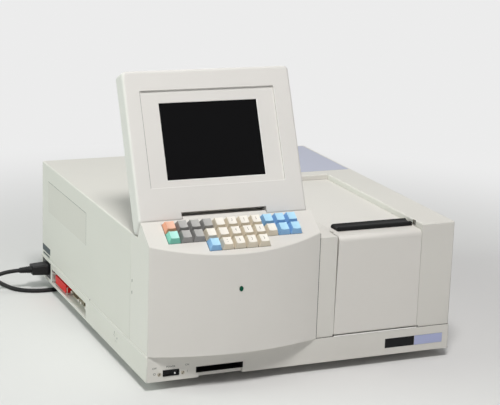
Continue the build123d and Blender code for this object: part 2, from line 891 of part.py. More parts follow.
# Rails: stepped bars under the cover's ledges, each with a groove for a runner
rail_bottom = cover_void_top - rail_height
rail_start = front + return_depth + 2
rail_end = cover_rear - wall - 2
with BuildPart() as lid_rails:
    with BuildSketch(back_plane(rail_start)):
        for side, edge, groove in ((-1, passage_left - fit_gap, runner_left),
                                   (1, door_right, runner_right)):
            outer = edge + side * rail_hold
            inner = groove - side * rail_reach
            half = runner_width / 2 + runner_gap
            with BuildLine():
                Polyline(
                    (outer, rail_bottom), (outer, cover_void_top), (edge, cover_void_top), (edge, rail_top),
                    (groove + side * half, rail_top), (groove + side * half, rail_top - groove_depth),
                    (groove - side * half, rail_top - groove_depth), (groove - side * half, rail_top),
                    (inner, rail_top), (inner, rail_bottom), close=True,
                )
            make_face()
    extrude(amount=-(rail_end - rail_start))
finish(lid_rails, "lid_rails")

# Front door: a panel bent over at the top, with side flanges and a pintle at each lower corner
door_bottom = cover_bottom + door_foot
door_top = lid_level - door_sink
door_x0 = door_left + door_gap
door_x1 = door_right - door_gap
with BuildPart() as sample_door:
    with BuildSketch(side_plane(door_x0)):
        with BuildLine():
            Polyline((cover_front, door_top - door_round), (cover_front, door_bottom),
                     (cover_front + door_thick, door_bottom),
                     (cover_front + door_thick, door_top - door_round))
            RadiusArc((cover_front + door_thick, door_top - door_round),
                      (cover_front + door_round, door_top - door_thick), door_round - door_thick)
            Polyline((cover_front + door_round, door_top - door_thick),
                     (front + strip_depth, door_top - door_thick),
                     (front + strip_depth, door_top), (cover_front + door_round, door_top))
            RadiusArc((cover_front + door_round, door_top), (cover_front, door_top - door_round),
                      -door_round)
        make_face()
    extrude(amount=door_x1 - door_x0)
    foot_edge = sample_door.edges().filter_by(Axis.X).sort_by(Axis.Z)[0:2].sort_by(Axis.Y)[0]
    fillet(foot_edge, door_foot_round)
    for flange in (door_x0 + door_lean, door_x1 - flange_thick):
        box_between((flange, cover_front + door_thick - 0.5, door_bottom),
                    (flange + flange_thick, cover_front + flange_depth, door_top - door_thick + 0.5))
    for ear in (door_x0, door_x1 - ear_thick):
        box_between((ear, cover_front + door_thick - 0.5, door_bottom),
                    (ear + ear_thick, hinge_door_y + 2 * pintle, hinge_door_z + 2 * pintle))
    with BuildSketch(side_plane(door_left - pintle_reach)):
        with Locations((hinge_door_y, hinge_door_z)):
            Circle(pintle)
    extrude(amount=pintle_reach + ear_thick)
    with BuildSketch(side_plane(door_right + pintle_reach)):
        with Locations((hinge_door_y, hinge_door_z)):
            Circle(pintle)
    extrude(amount=-(pintle_reach + ear_thick))
    # the left edge leans in towards the top
    with BuildSketch(back_plane(cover_front - 1)):
        with BuildLine():
            Polyline((door_x0 - 1, door_bottom + 4 * pintle), (door_x0, door_bottom + 4 * pintle),
                     (door_x0 + door_lean, door_top + 1), (door_x0 - 1, door_top + 1), close=True)
        make_face()
    extrude(amount=-(strip_depth + 2), mode=Mode.SUBTRACT)
finish(sample_door, "sample_door")

# Sample compartment: an open tub with beam ports and a low front
chamber_left = runner_left + rail_reach - chamber_wall - 1
chamber_right = runner_right - rail_reach + chamber_wall + 1
chamber_front = front + return_depth + 3
chamber_rear = front + chamber_back
chamber_top = rail_bottom - fit_gap
bench_top = bench_low + bench_thick
beam_z = base_bottom + beam_height
cell_x = (chamber_left + chamber_right) / 2
cells = [front + cell_front, front + cell_front + cell_pitch]
with BuildPart() as sample_chamber:
    box_between((chamber_left, chamber_front, bench_top), (chamber_right, chamber_rear, chamber_top))
    fillet(sample_chamber.edges().filter_by(Axis.Z), 4)
    box_between((chamber_left - flange_out, chamber_front + 10, chamber_top - chamber_wall),
                (chamber_right + flange_out, chamber_rear + flange_out, chamber_top))
    box_between((chamber_left + chamber_wall, chamber_front + chamber_wall, bench_top + chamber_wall),
                (chamber_right - chamber_wall, chamber_rear - chamber_wall, chamber_top + 1), Mode.SUBTRACT)
    box_between((chamber_left + 4 * chamber_wall, chamber_front - 1, chamber_sill),
                (chamber_right - 4 * chamber_wall, chamber_front + chamber_wall + 1, chamber_top + 1),
                Mode.SUBTRACT)
    with BuildSketch(side_plane(chamber_left - 1)):
        with Locations(*[(cell_y, beam_z) for cell_y in cells]):
            Circle(beam_hole)
    extrude(amount=chamber_right - chamber_left + 2, mode=Mode.SUBTRACT)
finish(sample_chamber, "sample_chamber")

# Cell holder: a foot plate with two pillars, each with a square well and a beam slot
well_floor = beam_z - cell_beam_up
with BuildPart() as cell_holder:
    box_between((cell_x - cell_block, cells[0] - cell_block, bench_top + chamber_wall),
                (cell_x + cell_block, cells[1] + cell_block, bench_top + chamber_wall + holder_plate))
    for cell_y in cells:
        box_between((cell_x - cell_half, cell_y - cell_half, bench_top + chamber_wall + holder_plate - 1),
                    (cell_x + cell_half, cell_y + cell_half, well_floor + cell_depth))
        box_between((cell_x - cell_width / 2, cell_y - cell_width / 2, well_floor),
                    (cell_x + cell_width / 2, cell_y + cell_width / 2, well_floor + cell_depth + 1),
                    Mode.SUBTRACT)
        box_between((cell_x - cell_half - 1, cell_y - beam_slot / 2, beam_z - cell_beam_up / 2),
                    (cell_x + cell_half + 1, cell_y + beam_slot / 2, beam_z + cell_beam_up / 2),
                    Mode.SUBTRACT)
finish(cell_holder, "cell_holder")

# Power switch: a black frame in the base and a rocker that turns about an upright pin
switch_mid_x = left + (switch_left + switch_right) / 2
switch_mid_z = base_bottom + (switch_low + switch_high) / 2
switch_wide = switch_right - switch_left
switch_tall = switch_high - switch_low
pivot_y = front + rocker_pivot
with BuildPart() as switch_body:
    with BuildSketch(back_plane(front - switch_proud)):
        with Locations((switch_mid_x, switch_mid_z)):
            RectangleRounded(switch_wide, switch_tall, 1)
    extrude(amount=-switch_proud)
    with BuildSketch(back_plane(front)):
        with Locations((switch_mid_x, switch_mid_z)):
            Rectangle(switch_wide - 2 * switch_lap - 0.2, switch_tall - 2 * switch_lap - 0.2)
    extrude(amount=-switch_deep)
    with BuildSketch(back_plane(front - switch_proud - 1)):
        with Locations((switch_mid_x, switch_mid_z)):
            Rectangle(rocker_long + 2 * rocker_play, rocker_tall + 2 * fit_gap)
    extrude(amount=-(switch_deep - 1), mode=Mode.SUBTRACT)
    for pin_z, pin_way in ((switch_mid_z - rocker_tall / 2 - fit_gap - 0.2, 1),
                           (switch_mid_z + rocker_tall / 2 + fit_gap + 0.2, -1)):
        with BuildSketch(Plane.XY.offset(pin_z)):
            with Locations((switch_mid_x, pivot_y)):
                Circle(rocker_pin)
        extrude(amount=pin_way * (rocker_pin_long + fit_gap + 0.2))
finish(switch_body, "switch_body")

rocker_plane = Plane(
    origin=(switch_mid_x, pivot_y, switch_mid_z - rocker_tall / 2),
    x_dir=(cos(radians(rocker_swing)), -sin(radians(rocker_swing)), 0),
    z_dir=(0, 0, 1),
)
half_long = rocker_long / 2
with BuildPart() as power_rocker:
    with BuildSketch(rocker_plane):
        with BuildLine():
            Polyline((-half_long, -rocker_pivot - rocker_rise), (0, -rocker_pivot + rocker_dip),
                     (half_long, -rocker_pivot - rocker_rise), (half_long, -rocker_pivot + 2),
                     (3, rocker_back), (-3, rocker_back), (-half_long, -rocker_pivot + 2), close=True)
        make_face()
    extrude(amount=rocker_tall)
    with BuildSketch(Plane.XY.offset(switch_mid_z - rocker_tall)):
        with Locations((switch_mid_x, pivot_y)):
            Circle(rocker_pin + pin_gap)
    extrude(amount=2 * rocker_tall, mode=Mode.SUBTRACT)
finish(power_rocker, "power_rocker")

# Card slot: a black throat set through the front of the base
slot_mid_x = left + (slot_left + slot_right) / 2
slot_mid_z = base_bottom + (slot_low + slot_high) / 2
slot_wide = slot_right - slot_left - 0.2
slot_tall = slot_high - slot_low - 0.2
with BuildPart() as card_slot:
    with BuildSketch(back_plane(front + 0.2)):
        with Locations((slot_mid_x, slot_mid_z)):
            Rectangle(slot_wide, slot_tall)
    extrude(amount=-slot_deep)
    with BuildSketch(back_plane(front + 0.2)):
        with Locations((slot_mid_x, slot_mid_z)):
            Rectangle(slot_wide - 2 * slot_lip, slot_tall - 1.4)
    with BuildSketch(back_plane(front + slot_lead)):
        with Locations((slot_mid_x, slot_mid_z)):
            Rectangle(card_wide, card_tall)
    loft(mode=Mode.SUBTRACT)
    with BuildSketch(back_plane(front + slot_lead - 0.01)):
        with Locations((slot_mid_x, slot_mid_z)):
            Rectangle(card_wide, card_tall)
    extrude(amount=-(slot_deep - slot_lead - 2), mode=Mode.SUBTRACT)
finish(card_slot, "card_slot")

# Status lamp: an oval lens in the middle of the bulge
lamp_face = front - bulge
with BuildPart() as status_lamp:
    with BuildSketch(back_plane(lamp_face - lamp_proud)):
        with Locations((left + led_x, base_bottom + led_height)):
            Ellipse(led_wide / 2, led_tall / 2)
    extrude(amount=-(wall + lamp_proud + 4))
finish(status_lamp, "status_lamp")

# Ribbon socket in the side pocket: flange, trapezoid shell and four ears for the bails
port_z = base_bottom + (port_low + port_high) / 2
port_wall = left + port_sink
shell_x = port_wall - flange_plate


def shell_outline(length, height, mid_y, shell_slant):
    """Corners of a socket shell, seen along X."""
    return [
        (mid_y - length / 2, port_z + height / 2),
        (mid_y + length / 2, port_z + height / 2),
        (mid_y + length / 2 - shell_slant, port_z - height / 2),
        (mid_y - length / 2 + shell_slant, port_z - height / 2),
    ]


ribbon_y = front + ribbon_mid
with BuildPart() as ribbon_port:
    with BuildSketch(side_plane(port_wall)):
        with Locations((ribbon_y, port_z)):
            Rectangle(ribbon_flange, port_flange_tall)
    extrude(amount=-flange_plate)
    with BuildSketch(side_plane(shell_x)):
        with BuildLine():
            Polyline(*shell_outline(ribbon_shell, ribbon_shell_tall, ribbon_y, 2), close=True)
        make_face()
    extrude(amount=-ribbon_reach)
    with BuildSketch(side_plane(shell_x - ribbon_reach)):
        with Locations((ribbon_y, port_z)):
            Rectangle(ribbon_shell - 8, ribbon_shell_tall / 3)
    extrude(amount=ribbon_reach - 1, mode=Mode.SUBTRACT)
    with BuildSketch(side_plane(shell_x)):
        for side in (-1, 1):
            for rise in (-1, 1):
                with Locations((ribbon_y + side * bail_mid, port_z + rise * (bail_half - bail_wire * 2.2))):
                    Rectangle(3, bail_wire * 1.4)
    extrude(amount=-(bail_out + 1.6))
    with BuildSketch(Plane.XY.offset(port_z - bail_half)):
        for side in (-1, 1):
            with Locations((shell_x - bail_out, ribbon_y + side * bail_mid)):
                Circle(bail_wire / 2 + pin_gap)
    extrude(amount=2 * bail_half, mode=Mode.SUBTRACT)
finish(ribbon_port, "ribbon_port")

# Wire bails: each a bent loop whose ends turn in the ears of the ribbon socket
for label, side in (("bail_front", -1), ("bail_rear", 1)):
    pivot = (shell_x - bail_out, ribbon_y + side * bail_mid)
    tip = (pivot[0] - bail_long * cos(radians(bail_splay)),
           pivot[1] + side * bail_long * sin(radians(bail_splay)))
    inner = bail_half - bail_grip
    with BuildPart() as bail:
        with BuildLine() as bail_path:
            Polyline(
                (pivot[0], pivot[1], port_z - inner),
                (pivot[0], pivot[1], port_z - bail_half),
                (tip[0], tip[1], port_z - bail_half),
                (tip[0], tip[1], port_z + bail_half),
                (pivot[0], pivot[1], port_z + bail_half),
                (pivot[0], pivot[1], port_z + inner),
            )
        with BuildSketch(Plane(origin=bail_path.line @ 0, z_dir=bail_path.line % 0)):
            Circle(bail_wire / 2)
        sweep(transition=Transition.RIGHT)
    finish(bail, label)

# Red dust cap over the ribbon socket
with BuildPart() as port_cap:
    with BuildSketch(side_plane(shell_x - 0.4)):
        with BuildLine():
            Polyline(*shell_outline(cap_length, cap_tall, ribbon_y, 2), close=True)
        make_face()
    extrude(amount=-cap_reach, taper=2)
    with BuildSketch(side_plane(shell_x - 0.3)):
        with BuildLine():
            Polyline(*shell_outline(ribbon_shell + 0.3, ribbon_shell_tall + 0.3, ribbon_y, 2), close=True)
        make_face()
    extrude(amount=-(ribbon_reach + 0.1), mode=Mode.SUBTRACT)
finish(port_cap, "port_cap")

# Two D-shaped sockets with their screw posts
with BuildPart() as serial_ports:
    for mid, (flange, shell) in ((serial_wide_mid, serial_wide), (serial_small_mid, serial_small)):
        mid_y = front + mid
        with BuildSketch(side_plane(port_wall)):
            with Locations((mid_y, port_z)):
                RectangleRounded(flange, port_flange_tall, 1)
        extrude(amount=-flange_plate)
        with BuildSketch(side_plane(shell_x)):
            with BuildLine():
                Polyline(*shell_outline(shell, serial_tall, mid_y, serial_slant), close=True)
            make_face()
        extrude(amount=-serial_reach)
        with BuildSketch(side_plane(shell_x - serial_reach)):
            with BuildLine():
                Polyline(*shell_outline(shell - 2 * serial_skin, serial_tall - 2 * serial_skin, mid_y,
                                        serial_slant), close=True)
            make_face()
        extrude(amount=2 * serial_skin, mode=Mode.SUBTRACT)
        with BuildSketch(side_plane(shell_x)):
            with Locations((mid_y - flange / 2 + post_inset, port_z),
                           (mid_y + flange / 2 - post_inset, port_z)):
                RegularPolygon(post_size, 6)
                Circle(post_bore, mode=Mode.SUBTRACT)
        extrude(amount=-post_long)
finish(serial_ports, "serial_ports")

# Mains inlet: a flanged socket with three flat pins
inlet_y = front + inlet_mid
inlet_z = base_bottom + inlet_height
inlet_pins = [
    (inlet_y - pin_spread, inlet_z),
    (inlet_y, inlet_z - pin_drop),
    (inlet_y + pin_spread, inlet_z),
]
with BuildPart() as mains_inlet:
    with BuildSketch(side_plane(left)):
        with Locations((inlet_y, inlet_z)):
            RectangleRounded(inlet_width - 2 * fit_gap, inlet_tall - 2 * fit_gap, 2)
    extrude(amount=inlet_flange)
    with BuildSketch(side_plane(left + inlet_flange)):
        with Locations((inlet_y, inlet_z)):
            Rectangle(inlet_body, inlet_body_tall)
    extrude(amount=inlet_deep)
    with BuildSketch(side_plane(left)):
        with Locations((inlet_y, inlet_z)):
            Rectangle(plug_wide, plug_tall)
    extrude(amount=inlet_cavity, mode=Mode.SUBTRACT)
    with BuildSketch(side_plane(left + inlet_cavity)):
        with Locations(*inlet_pins):
            Rectangle(*pin_size)
    extrude(amount=-(inlet_cavity - pin_short))
finish(mains_inlet, "mains_inlet")

# Inside: the optical bench with its monochromator, detector and mirror boxes
with BuildPart() as optical_bench:
    box_between((bench_left, bench_front, bench_low), (bench_right, bench_rear, bench_top))
    fillet(optical_bench.edges().filter_by(Axis.Z), case_edge)
    box_between((mono_left, front + mono_front, bench_top - 0.5),
                (mono_right, front + mono_rear, bench_top + mono_tall))
    fillet(optical_bench.edges().filter_by(Axis.Z).sort_by(Axis.Z)[-4:], case_edge)
    box_between((mono_left - case_lid, front + mono_front - case_lid, bench_top + mono_tall),
                (mono_right + case_lid, front + mono_rear + case_lid, bench_top + mono_tall + case_lid))
    box_between((chamber_left - detector_gap - detector_deep, cells[0] - detector_half, bench_top - 0.5),
                (chamber_left - detector_gap, cells[1] + detector_half, bench_top + detector_tall))
    with BuildSketch(Plane.XY.offset(bench_top)):
        with Locations((bench_left + detector_card_x, front + detector_card_y)):
            with GridLocations(*post_grid, 2, 2):
                Circle(post_radius)
    extrude(amount=post_tall)
    with BuildSketch(Plane.XY.offset(bench_top + post_tall)):
        with Locations((bench_left + detector_card_x, front + detector_card_y)):
            Rectangle(*detector_card)
    extrude(amount=board_thick)
finish(optical_bench, "optical_bench")

# Lamp house: a finned box by the rear slots
with BuildPart() as lamp_house:
    box_between((lamp_left, front + lamp_front, bench_top),
                (lamp_right, front + lamp_rear, bench_top + lamp_tall))
    with BuildSketch(Plane.XY.offset(bench_top + lamp_tall)):
        with Locations(((lamp_left + lamp_right) / 2, front + (lamp_front + lamp_rear) / 2)):
            with GridLocations(fin_pitch, 1, fin_count, 1):
                Rectangle(fin_thick, lamp_rear - lamp_front)
    extrude(amount=fin_tall)
finish(lamp_house, "lamp_house")

# Power supply and main board on the floor of the pan
supply_mid = ((supply_left + supply_right) / 2, front + (supply_front + supply_rear) / 2)
with BuildPart() as power_supply:
    box_between((supply_left, front + supply_front, base_floor),
                (supply_right, front + supply_rear, base_floor + supply_foot))
    for size_x, size_y, size_z in ((core_side, core_side, core_tall),
                                   (winding_long, winding_wide, winding_tall)):
        with BuildSketch(Plane.XY.offset(base_floor)):
            with Locations(supply_mid):
                Rectangle(size_x, size_y)
        extrude(amount=size_z)
finish(power_supply, "power_supply")

logic_mid = ((logic_left + logic_right) / 2, front + (logic_front + logic_rear) / 2)
logic_size = (logic_right - logic_left, logic_rear - logic_front)
with BuildPart() as main_board:
    with BuildSketch(Plane.XY.offset(base_floor + standoff)):
        with Locations(logic_mid):
            Rectangle(*logic_size)
    extrude(amount=board_thick)
    with BuildSketch(Plane.XY.offset(base_floor)):
        with Locations(logic_mid):
            with GridLocations(logic_size[0] - 2 * standoff_inset,
                               logic_size[1] - 2 * standoff_inset, 2, 2):
                Circle(standoff_radius)
    extrude(amount=standoff)
    with BuildSketch(Plane.XY.offset(base_floor + standoff + board_thick)):
        with Locations(logic_mid):
            with GridLocations(*chip_grid, 3, 5):
                Rectangle(*chip_size)
    extrude(amount=chip_tall)
finish(main_board, "main_board")

# Mains lead: the moulded connector, the free cord, its put-away coil and the wall plug
plug_out = left - plug_gap
with BuildPart() as mains_connector:
    with BuildSketch(side_plane(plug_out)):
        with Locations((inlet_y, inlet_z)):
            RectangleRounded(plug_wide - 2 * fit_gap, plug_tall - 2 * fit_gap, 2)
    extrude(amount=plug_gap + inlet_cavity - 1)
    with BuildSketch(side_plane(left + inlet_cavity - 1)):
        with Locations(*inlet_pins):
            Rectangle(pin_size[0] + 2 * pin_slack, pin_size[1] + 2 * pin_slack)
    extrude(amount=-(inlet_cavity - 2), mode=Mode.SUBTRACT)
    with BuildSketch(side_plane(plug_out)):
        with Locations((inlet_y, inlet_z)):
            RectangleRounded(plug_body_wide, plug_body_tall, plug_corner)
    extrude(amount=-plug_body, taper=4)
    with BuildSketch(side_plane(plug_out - plug_body + 0.5)):
        with Locations((inlet_y, inlet_z)):
            Circle(relief_radius)
    with BuildSketch(side_plane(plug_out - plug_body - relief_long)):
        with Locations((inlet_y, inlet_z)):
            Circle(cord_diameter / 2 + relief_wall)
    loft()
finish(mains_connector, "mains_connector")

# Free cord: out of the connector, down to the bench, once round and back under the casing.
# The points are measured from the casing's left side, its flat front and the bench.
floor_z = cord_diameter / 2 + 0.1
cord_points = [
    (-49.0, 523.0, 35.5),
    (-76.0, 523.0, 35.5),
    (-104.0, 521.5, 23.0),
    (-132.5, 523.0, 7.0),
    (-155.7, 545.5, floor_z),
    (-155.0, 578.5, floor_z),
    (-132.5, 601.7, floor_z),
    (-99.5, 601.0, floor_z),
    (-76.3, 578.5, floor_z),
    (-69.0, 547.0, floor_z),
    (-58.0, 519.0, floor_z),
    (-35.0, 502.0, floor_z),
    (-5.0, 497.0, floor_z),
    (26.0, 502.0, floor_z),
    (53.0, 517.0, floor_z),
    (75.0, 538.0, floor_z),
    (coil_left - coil_radius - cord_diameter, 559.0, floor_z),
    (coil_left - coil_radius - cord_diameter, depth + coil_behind - coil_tail, floor_z),
]
route = [Vector(left + x, front + y, z) for x, y, z in cord_points]
route[0] = Vector(plug_out - plug_body - relief_long, inlet_y, inlet_z)
route[1] = Vector(route[1].X, inlet_y, inlet_z)
bend_radii = []
for before, corner, after in zip(route, route[1:], route[2:]):
    run_in = corner - before
    run_out = after - corner
    half_turn = radians(run_in.get_angle(run_out)) / 2
    bend_radii.append(0.45 * min(run_in.length, run_out.length) / tan(half_turn))
print("bend radii", [round(radius, 1) for radius in bend_radii])
with BuildPart() as mains_cord:
    with BuildLine() as cord_path:
        FilletPolyline(*route, radius=bend_radii)
    with BuildSketch(Plane(origin=cord_path.line @ 0, z_dir=cord_path.line % 0)):
        Circle(cord_diameter / 2)
    sweep()
section = pi * cord_diameter ** 2 / 4
tube_length = sum(edge.length for edge in cord_path.line.edges())
volume_ratio = mains_cord.part.volume / (section * tube_length)
print("cord tube", round(tube_length, 1), "volume ratio", round(volume_ratio, 4))
finish(mains_cord, "mains_cord")

coil_mid = (left + coil_left, rear + coil_behind)
coil_out = coil_radius + cord_diameter * coil_wide / 2
coil_in = coil_radius - cord_diameter * coil_wide / 2
coil_tall = cord_diameter * coil_high
tail_z = floor_z + cord_diameter * (coil_high - 1)
with BuildPart() as mains_coil:
    with BuildSketch(Plane.XY.offset(floor_z - cord_diameter / 2)):
        with Locations(coil_mid):
            Circle(coil_out)
            Circle(coil_in, mode=Mode.SUBTRACT)
    extrude(amount=coil_tall)
    with BuildSketch(back_plane(coil_mid[1] - coil_tail)):
        with Locations((coil_mid[0] - coil_radius - cord_diameter, floor_z)):
            Circle(cord_diameter / 2)
    extrude(amount=-coil_tail)
    with BuildSketch(side_plane(coil_mid[0])):
        with Locations((coil_mid[1] + coil_radius + cord_diameter, tail_z)):
            Circle(cord_diameter / 2)
    extrude(amount=coil_tail)
finish(mains_coil, "mains_coil")

wall_y = coil_mid[1] + coil_radius + cord_diameter
wall_x = coil_mid[0] + coil_tail
with BuildPart() as wall_plug:
    with BuildSketch(side_plane(wall_x)):
        with Locations((wall_y, tail_z)):
            Circle(cord_diameter / 2 + relief_wall)
    with BuildSketch(side_plane(wall_x + wall_relief)):
        with Locations((wall_y, tail_z)):
            Circle(relief_radius + 1)
    loft()
    with BuildSketch(side_plane(wall_x + wall_relief)):
        with Locations((wall_y, tail_z)):
            RectangleRounded(wall_plug_wide, wall_plug_tall, plug_corner)
    extrude(amount=wall_plug_long)
    with BuildSketch(side_plane(wall_x + wall_relief + wall_plug_long)):
        with Locations((wall_y - blade_spread, tail_z + blade_rise),
                       (wall_y + blade_spread, tail_z + blade_rise)):
            Rectangle(*blade_size)
        with Locations((wall_y, tail_z - earth_drop)):
            Circle(earth_radius)
    extrude(amount=blade_long)
finish(wall_plug, "wall_plug")
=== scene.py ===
import bmesh
import bpy
import json
from math import atan2, cos, pi, radians, sin
from mathutils import Matrix, Vector


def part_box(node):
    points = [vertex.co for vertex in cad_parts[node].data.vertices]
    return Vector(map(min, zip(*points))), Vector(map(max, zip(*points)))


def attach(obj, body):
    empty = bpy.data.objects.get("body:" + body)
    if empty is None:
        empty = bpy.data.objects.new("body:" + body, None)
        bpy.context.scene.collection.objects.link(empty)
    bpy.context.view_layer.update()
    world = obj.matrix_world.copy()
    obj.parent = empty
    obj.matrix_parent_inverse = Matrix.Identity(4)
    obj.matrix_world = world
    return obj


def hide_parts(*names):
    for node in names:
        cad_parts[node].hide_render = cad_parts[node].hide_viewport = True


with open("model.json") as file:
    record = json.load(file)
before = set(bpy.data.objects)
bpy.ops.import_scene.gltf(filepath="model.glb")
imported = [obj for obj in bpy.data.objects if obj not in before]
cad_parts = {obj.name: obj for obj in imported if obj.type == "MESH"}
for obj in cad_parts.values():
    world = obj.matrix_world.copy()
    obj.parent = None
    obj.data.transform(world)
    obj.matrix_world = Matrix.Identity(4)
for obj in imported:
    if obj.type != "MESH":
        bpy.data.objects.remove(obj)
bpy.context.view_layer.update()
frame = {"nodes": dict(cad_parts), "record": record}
nodes = frame["nodes"]
mm = 0.001

# The casing's own edges, read from the frame. Places on it are given in millimetres from its
# left side, its flat front and the underside of its base. The cover stands in from the base.
pan_low, pan_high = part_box("base_pan")
cover_low, cover_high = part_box("main_cover")
left = pan_low.x
front, rear = pan_low.y, pan_high.y
base_bottom = pan_low.z
deck = cover_high.z
cover_inset = 1.0

# Key deck: it slopes up from the cover's level to the console's rear lip. The third row is short.
slope_run = 39.0
slope_rise = 25.0
slope_angle = atan2(slope_rise, slope_run)
key_pitch = 19.05
key_left = 31.0
key_first_row = 21.0
key_top = 7.75
key_columns = 11
short_first = 3
short_count = 5

# Display face: places run from the casing's left side and up the face from the console's lip
display_tilt = radians(23.6)
hinge_back = 60.0
hinge_rise = 11.5
face_out = 23.0
lip_up = 4.724


def place(x, y, z):
    """Point from millimetres behind the left side, the flat front and the base's underside."""
    return Vector((left + x * mm, front + y * mm, base_bottom + z * mm))


def facing(origin, across, up):
    """Matrix whose x runs across, y up and z out of the surface."""
    across = Vector(across).normalized()
    up = Vector(up).normalized()
    out = across.cross(up)
    turn = Matrix((across, up, out)).transposed().to_4x4()
    return Matrix.Translation(origin) @ turn


def from_left(x):
    """How far right of the casing's left side a place of the frame lies, in millimetres."""
    return (x - left) / mm


def from_front(y):
    return (y - front) / mm


def from_base(z):
    return (z - base_bottom) / mm


def on_front(x, z, depth=0.0):
    return facing(place(x, depth, z), (1, 0, 0), (0, 0, 1))


def on_left(y, z, depth=0.0):
    return facing(place(depth, y, z), (0, -1, 0), (0, 0, 1))


def on_level(x, y, z):
    return facing(place(x, y, z), (1, 0, 0), (0, 1, 0))


def on_slope(x, v, out=0.0):
    origin = Vector((left + x * mm, front, deck))
    origin += v * mm * Vector((0, cos(slope_angle), sin(slope_angle)))
    origin += out * mm * Vector((0, -sin(slope_angle), cos(slope_angle)))
    return facing(origin, (1, 0, 0), (0, cos(slope_angle), sin(slope_angle)))


def on_display(x, up_face, out=0.0):
    rise = Vector((0, sin(display_tilt), cos(display_tilt)))
    outwards = Vector((0, -cos(display_tilt), sin(display_tilt)))
    origin = Vector((left + x * mm, front + hinge_back * mm, deck + hinge_rise * mm))
    origin += (lip_up + up_face) * mm * rise + (face_out + out) * mm * outwards
    return facing(origin, (1, 0, 0), rise)


# Shared shader groups
def new_group(name, inputs, outputs):
    group = bpy.data.node_groups.new(name, "ShaderNodeTree")
    for label, default in inputs:
        socket = group.interface.new_socket(label, in_out="INPUT", socket_type="NodeSocketFloat")
        socket.default_value = default
    for label in outputs:
        group.interface.new_socket(label, in_out="OUTPUT", socket_type="NodeSocketFloat")
    return group, group.nodes.new("NodeGroupInput"), group.nodes.new("NodeGroupOutput")


def add_math(tree, operation, first, second, clamp=False):
    step = tree.nodes.new("ShaderNodeMath")
    step.operation = operation
    step.use_clamp = clamp
    for socket, value in zip(step.inputs, (first, second)):
        if isinstance(value, (int, float)):
            socket.default_value = value
        else:
            tree.links.new(value, socket)
    return step.outputs[0]


def moulded_grain_group():
    """Fine spark-eroded texture of a moulded case, with a broad unevenness of tone."""
    group, start, end = new_group(
        "moulded_grain",
        [("Grain Size", 900.0), ("Patch Size", 9.0), ("Tone Range", 0.04)],
        ["Height", "Tone", "Mask"],
    )
    where = group.nodes.new("ShaderNodeTexCoord")
    fine = group.nodes.new("ShaderNodeTexNoise")
    fine.inputs["Detail"].default_value = 3.0
    fine.inputs["Roughness"].default_value = 0.6
    broad = group.nodes.new("ShaderNodeTexNoise")
    broad.inputs["Detail"].default_value = 4.0
    broad.inputs["Roughness"].default_value = 0.55
    for texture, size in ((fine, "Grain Size"), (broad, "Patch Size")):
        group.links.new(where.outputs["Object"], texture.inputs["Vector"])
        group.links.new(start.outputs[size], texture.inputs["Scale"])
    centred = add_math(group, "SUBTRACT", broad.outputs["Fac"], 0.5)
    swing = add_math(group, "MULTIPLY", centred, start.outputs["Tone Range"])
    group.links.new(fine.outputs["Fac"], end.inputs["Height"])
    group.links.new(add_math(group, "ADD", swing, 1.0), end.inputs["Tone"])
    group.links.new(broad.outputs["Fac"], end.inputs["Mask"])
    return group


def hand_wear_group():
    """Slight soil in patches, stronger low on the case than high."""
    group, start, end = new_group(
        "hand_wear",
        [("Low", 0.0), ("High", 0.1), ("Amount", 0.1)],
        ["Soil"],
    )
    where = group.nodes.new("ShaderNodeTexCoord")
    split = group.nodes.new("ShaderNodeSeparateXYZ")
    group.links.new(where.outputs["Object"], split.inputs[0])
    ramp = group.nodes.new("ShaderNodeMapRange")
    group.links.new(split.outputs["Z"], ramp.inputs["Value"])
    group.links.new(start.outputs["Low"], ramp.inputs["From Min"])
    group.links.new(start.outputs["High"], ramp.inputs["From Max"])
    ramp.inputs["To Min"].default_value = 1.0
    ramp.inputs["To Max"].default_value = 0.25
    patch = group.nodes.new("ShaderNodeTexNoise")
    patch.inputs["Scale"].default_value = 22.0
    patch.inputs["Detail"].default_value = 6.0
    group.links.new(where.outputs["Object"], patch.inputs["Vector"])
    rubbed = add_math(group, "MULTIPLY", ramp.outputs["Result"], patch.outputs["Fac"])
    soil = add_math(group, "MULTIPLY", rubbed, start.outputs["Amount"], True)
    group.links.new(soil, end.inputs["Soil"])
    return group


def brushed_group():
    """Fine lines along one axis, for rolled and drawn metal."""
    group, start, end = new_group(
        "brushed_lines",
        [("Across", 1400.0), ("Along", 40.0)],
        ["Height"],
    )
    where = group.nodes.new("ShaderNodeTexCoord")
    stretch = group.nodes.new("ShaderNodeVectorMath")
    stretch.operation = "MULTIPLY"
    scales = group.nodes.new("ShaderNodeCombineXYZ")
    group.links.new(start.outputs["Across"], scales.inputs[0])
    group.links.new(start.outputs["Along"], scales.inputs[1])
    group.links.new(start.outputs["Across"], scales.inputs[2])
    group.links.new(where.outputs["Object"], stretch.inputs[0])
    group.links.new(scales.outputs[0], stretch.inputs[1])
    lines = group.nodes.new("ShaderNodeTexNoise")
    lines.inputs["Scale"].default_value = 1.0
    lines.inputs["Detail"].default_value = 2.0
    group.links.new(stretch.outputs[0], lines.inputs["Vector"])
    group.links.new(lines.outputs["Fac"], end.inputs["Height"])
    return group


moulded_grain = moulded_grain_group()
hand_wear = hand_wear_group()
brushed_lines = brushed_group()


# Materials
def place_group(tree, group, **values):
    step = tree.nodes.new("ShaderNodeGroup")
    step.node_tree = group
    for label, value in values.items():
        step.inputs[label.replace("_", " ")].default_value = value
    return step


def blank_material(name, color, roughness, metallic=0.0):
    material = bpy.data.materials.new(name)
    material.use_nodes = True
    surface = material.node_tree.nodes["Principled BSDF"]
    surface.inputs["Base Color"].default_value = (*color, 1.0)
    surface.inputs["Roughness"].default_value = roughness
    surface.inputs["Metallic"].default_value = metallic
    return material, material.node_tree, surface


